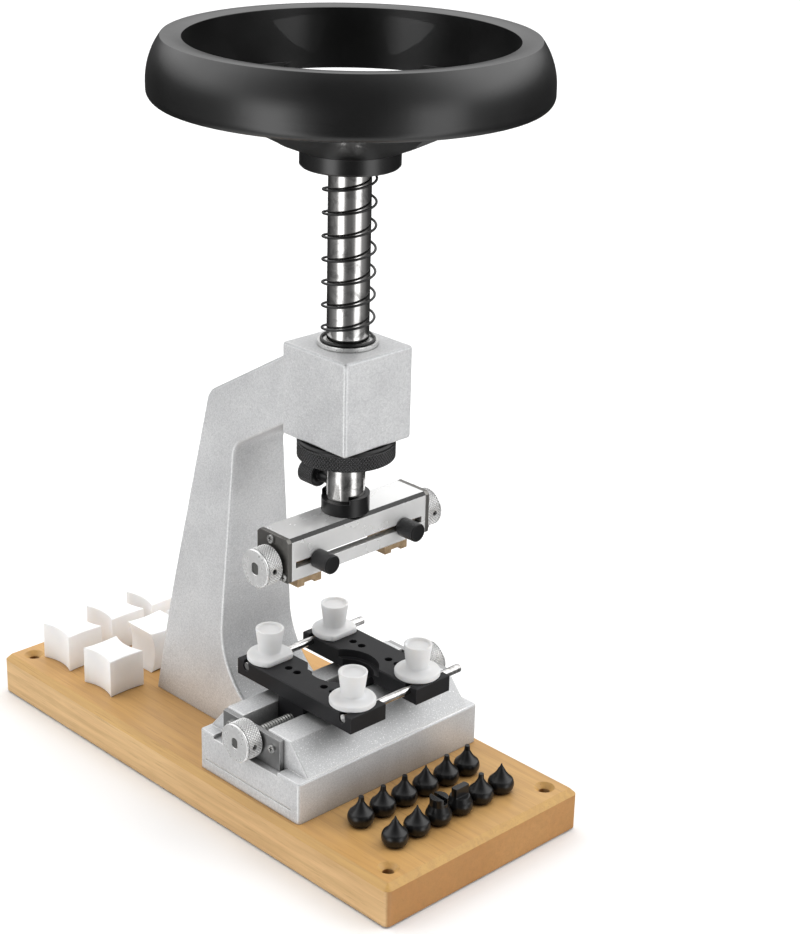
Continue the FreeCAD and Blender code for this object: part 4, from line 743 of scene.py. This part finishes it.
def make_pegs():
    """The four nylon pegs; the flanges of the rear pair are cut flat at the front."""
    columns = 72
    reach = SPINDLE_AXIS.y - middle("peg_front_left").y
    for end, offset in (("front", -reach), ("rear", reach)):
        for side in ("left", "right"):
            node = f"peg_{end}_{side}"
            low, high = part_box(node)
            flange = (high.x - low.x) / 2
            flat = 7.6 * MM if end == "rear" else flange
            plate_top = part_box("jaw_plate_" + side)[1].z
            rows = peg_rows(low.z, high.z, plate_top, flange, flat / flange, columns)
            mesh = turned(node + "_moulded", rows, columns)
            place = Vector((middle(node).x, SPINDLE_AXIS.y + offset, 0.0))
            stand_for(node + "_moulded", mesh, node, place, crease=40.0)


def block_ring(half_x, half_y, steps):
    """Outline of a rest block: shallow dishes at front and rear, deep scoops at left and right."""
    scoop, dish = 2.4 * MM, 0.7 * MM
    ring = []
    for side in range(4):
        for step in range(steps):
            t = -1.0 + 2.0 * step / steps
            inward = 1.0 - t * t
            sides = [
                (t * half_x, -half_y + dish * inward),
                (half_x - scoop * inward, t * half_y),
                (-t * half_x, half_y - dish * inward),
                (-half_x + scoop * inward, -t * half_y),
            ]
            ring.append(sides[side])
    return ring


def block_mesh(name, size):
    """A rest block about its own middle, with softened upper and lower edges."""
    top, edge, inset = size.z / 2, 0.35 * MM, 0.965
    ring = block_ring(size.x / 2, size.y / 2, 16)
    layers = [(inset, -top), (1.0, edge - top), (1.0, top - edge), (inset, top)]
    points = [(x * scale, y * scale, z) for scale, z in layers for x, y in ring]
    count = len(ring)
    faces = [tuple(range(count))[::-1], tuple(range(3 * count, 4 * count))]
    for layer in range(len(layers) - 1):
        below, above = layer * count, (layer + 1) * count
        for start in range(count):
            after = (start + 1) % count
            faces.append((below + start, below + after, above + after, above + start))
    return mesh_from(name, points, faces)


def make_rest_blocks():
    """The six nylon blocks; those that stand on their side show a scoop or a dish at the top."""
    for index in range(1, 7):
        node = f"rest_block_{index}"
        low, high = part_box(node)
        size = high - low
        on_side = size.z > size.y
        if on_side:
            size.y, size.z = size.z, size.y
        mesh = block_mesh(node + "_moulded", size)
        turn = TO_FRONT if on_side else UPRIGHT
        stand_for(node + "_moulded", mesh, node, middle(node), turn, 28.0)


# ---- camera, floor and light ---------------------------------------------------------------------------


CAMERA_PLACE = Vector((-0.56897, -0.66038, 0.50764))
CAMERA_LOOK = Vector((0.64875, 0.66045, -0.37807))
CAMERA_ROLL = math.radians(1.437)
CAMERA_LENS = 79.32


def make_camera():
    """The camera at the reference view: a long lens a metre away, a little above and to the left front."""
    camera = bpy.data.objects.new("camera", bpy.data.cameras.new("camera"))
    bpy.context.scene.collection.objects.link(camera)
    aim = CAMERA_LOOK.to_track_quat("-Z", "Y").to_matrix().to_4x4()
    camera.matrix_world = Matrix.Translation(CAMERA_PLACE) @ aim @ Matrix.Rotation(CAMERA_ROLL, 4, "Z")
    camera.data.lens = CAMERA_LENS
    camera.data.sensor_width = 36.0
    camera.data.clip_end = 50.0
    bpy.context.scene.camera = camera


def set_stage(name, mesh, material):
    """A finished object for the floor or the backdrop, which isn't part of the tool."""
    made = bpy.data.objects.new(name, mesh)
    bpy.context.scene.collection.objects.link(made)
    made.data.materials.append(material)
    return made


def make_floor():
    """A plain pale floor, which reaches beyond the backdrop."""
    size = 6.5
    points = [(-size, -size, 0.0), (size, -size, 0.0), (size, size, 0.0), (-size, size, 0.0)]
    paint = Finish("floor_paint", Roughness=0.9, Specular_IOR_Level=0.1)
    cloud = paint.noise(3.0, 2.0)
    paint.put(paint.surface, {"Base Color": paint.ramp(cloud, (0.3, 0.90), (0.7, 0.93))})
    floor = set_stage("floor", mesh_from("floor", points, [(0, 1, 2, 3)]), paint.material)
    floor.visible_glossy = False


def make_backdrop():
    """A plain white dome round everything. Only the camera sees it, so it doesn't change the light."""
    reach, rings, columns = 6.0, 12, 48
    angles = [math.pi / 2 * step / rings for step in range(rings)]
    rows = [(reach * math.cos(angle), reach * math.sin(angle)) for angle in angles]
    mesh = turned("backdrop", [(0, -1.0), *rows, (0, reach)], columns)
    paint = Finish("backdrop_paint", Base_Color=(0.0, 0.0, 0.0), Emission_Strength=1.0)
    paint.put(paint.surface, {"Emission Color": (1.0, 1.0, 1.0)})
    dome = set_stage("backdrop", mesh, paint.material)
    for kind in ("diffuse", "glossy", "transmission", "volume_scatter", "shadow"):
        setattr(dome, "visible_" + kind, False)


def make_softbox(name, place, target, width, height, power):
    """A rectangular studio light."""
    data = bpy.data.lights.new(name, "AREA")
    data.shape = "RECTANGLE"
    data.size = width
    data.size_y = height
    data.energy = power
    light = bpy.data.objects.new(name, data)
    bpy.context.scene.collection.objects.link(light)
    light.location = place
    light.rotation_euler = (Vector(target) - Vector(place)).to_track_quat("-Z", "Y").to_euler()


class Sky(Finish):
    """The light all round the object, built a node at a time."""

    def __init__(self, world):
        world.use_nodes = True
        self.tree = world.node_tree
        self.coordinates = self.tree.nodes.new("ShaderNodeTexCoord")
        self.surface = self.tree.nodes["Background"]

    def along(self, direction):
        """How far a direction of the sky goes along a given one, from -1 to 1."""
        made = self.node("VectorMath", {"operation": "DOT_PRODUCT"})
        self.put(made, {0: self.coordinates.outputs["Generated"], 1: direction})
        return made.outputs["Value"]

    def centred(self, value, scale):
        """A value scaled and set about one half, to fit a ramp."""
        made = self.sum("MULTIPLY_ADD", value, scale)
        made.node.inputs[2].default_value = 0.5
        return made

    def ring(self, turn, stops):
        """Brightness all round, from stops of (degrees from the studio's opening, brightness)."""
        return self.ramp(turn, *[(0.5 + degrees / 360.0, value / SKY_PEAK) for degrees, value in stops])


# The direction of the studio's opening, and the brightness of its parts: near the horizon, higher up,
# straight above and straight below. A ramp's colours end at one, so each brightness is divided by the peak.
OPENING = Vector((-0.70, -0.714, 0.0))
SKY_PEAK = 4.0
LOW_RING = [
    (-180, 0.05), (-130, 0.05), (-95, 0.20), (-66, 0.45), (-49, 3.1), (-35, 3.1), (-22, 0.35), (-8, 0.16),
    (14, 0.16), (30, 0.35), (42, 2.4), (57, 2.4), (72, 0.40), (95, 0.22), (115, 0.08), (140, 0.05),
    (180, 0.05),
]
HIGH_RING = [
    (-180, 1.1), (-130, 1.8), (-90, 2.3), (-50, 0.6), (-20, 0.16),
    (20, 0.16), (50, 0.6), (90, 3.0), (130, 1.9), (180, 1.1),
]
ZENITH = 1.5
NADIR = 1.0


def make_sky():
    """A white tent, bright above, below and at its sides, and dark at its opening.

    Near the horizon it is dark, with a bright panel on each side of the opening."""
    world = bpy.data.worlds.new("studio")
    bpy.context.scene.world = world
    sky = Sky(world)
    sideways = OPENING.cross(Vector((0.0, 0.0, -1.0)))
    angle = sky.sum("ARCTAN2", sky.along(sideways), sky.along(OPENING))
    turn = sky.centred(angle, 0.5 / math.pi)
    height = sky.centred(sky.along(Vector((0.0, 0.0, 1.0))), 0.5)
    low = sky.ring(turn, LOW_RING)
    high = sky.ring(turn, HIGH_RING)
    light = sky.mix(sky.ramp(height, (0.53, 0.0), (0.67, 1.0)), low, high)
    light = sky.mix(sky.ramp(height, (0.92, 0.0), (0.985, 1.0)), light, (ZENITH / SKY_PEAK,) * 3)
    light = sky.mix(sky.ramp(height, (0.05, 1.0), (0.16, 0.0)), light, (NADIR / SKY_PEAK,) * 3)
    sky.put(sky.surface, {"Color": light, "Strength": SKY_PEAK})


def make_studio():
    """The light all round, a soft light from above, and plain colour handling."""
    make_sky()
    make_softbox("top_light", (0.1, 0.35, 1.2), (0, 0, 0.15), 0.9, 0.9, 2.0)
    view = bpy.context.scene.view_settings
    view.view_transform = "Standard"
    view.look = "None"


# ---- the whole object ----------------------------------------------------------------------------------


def finish_nodes():
    """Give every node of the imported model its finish."""
    for node, obj in frame["nodes"].items():
        obj.data.materials.clear()
        obj.data.materials.append(finish_of(node))


make_camera()
make_floor()
make_backdrop()
make_studio()
finish_nodes()
make_knobs()
make_stop_ring()
make_thumb_screws()
make_spring()
make_lead_screws()
make_pegs()
make_rest_blocks()
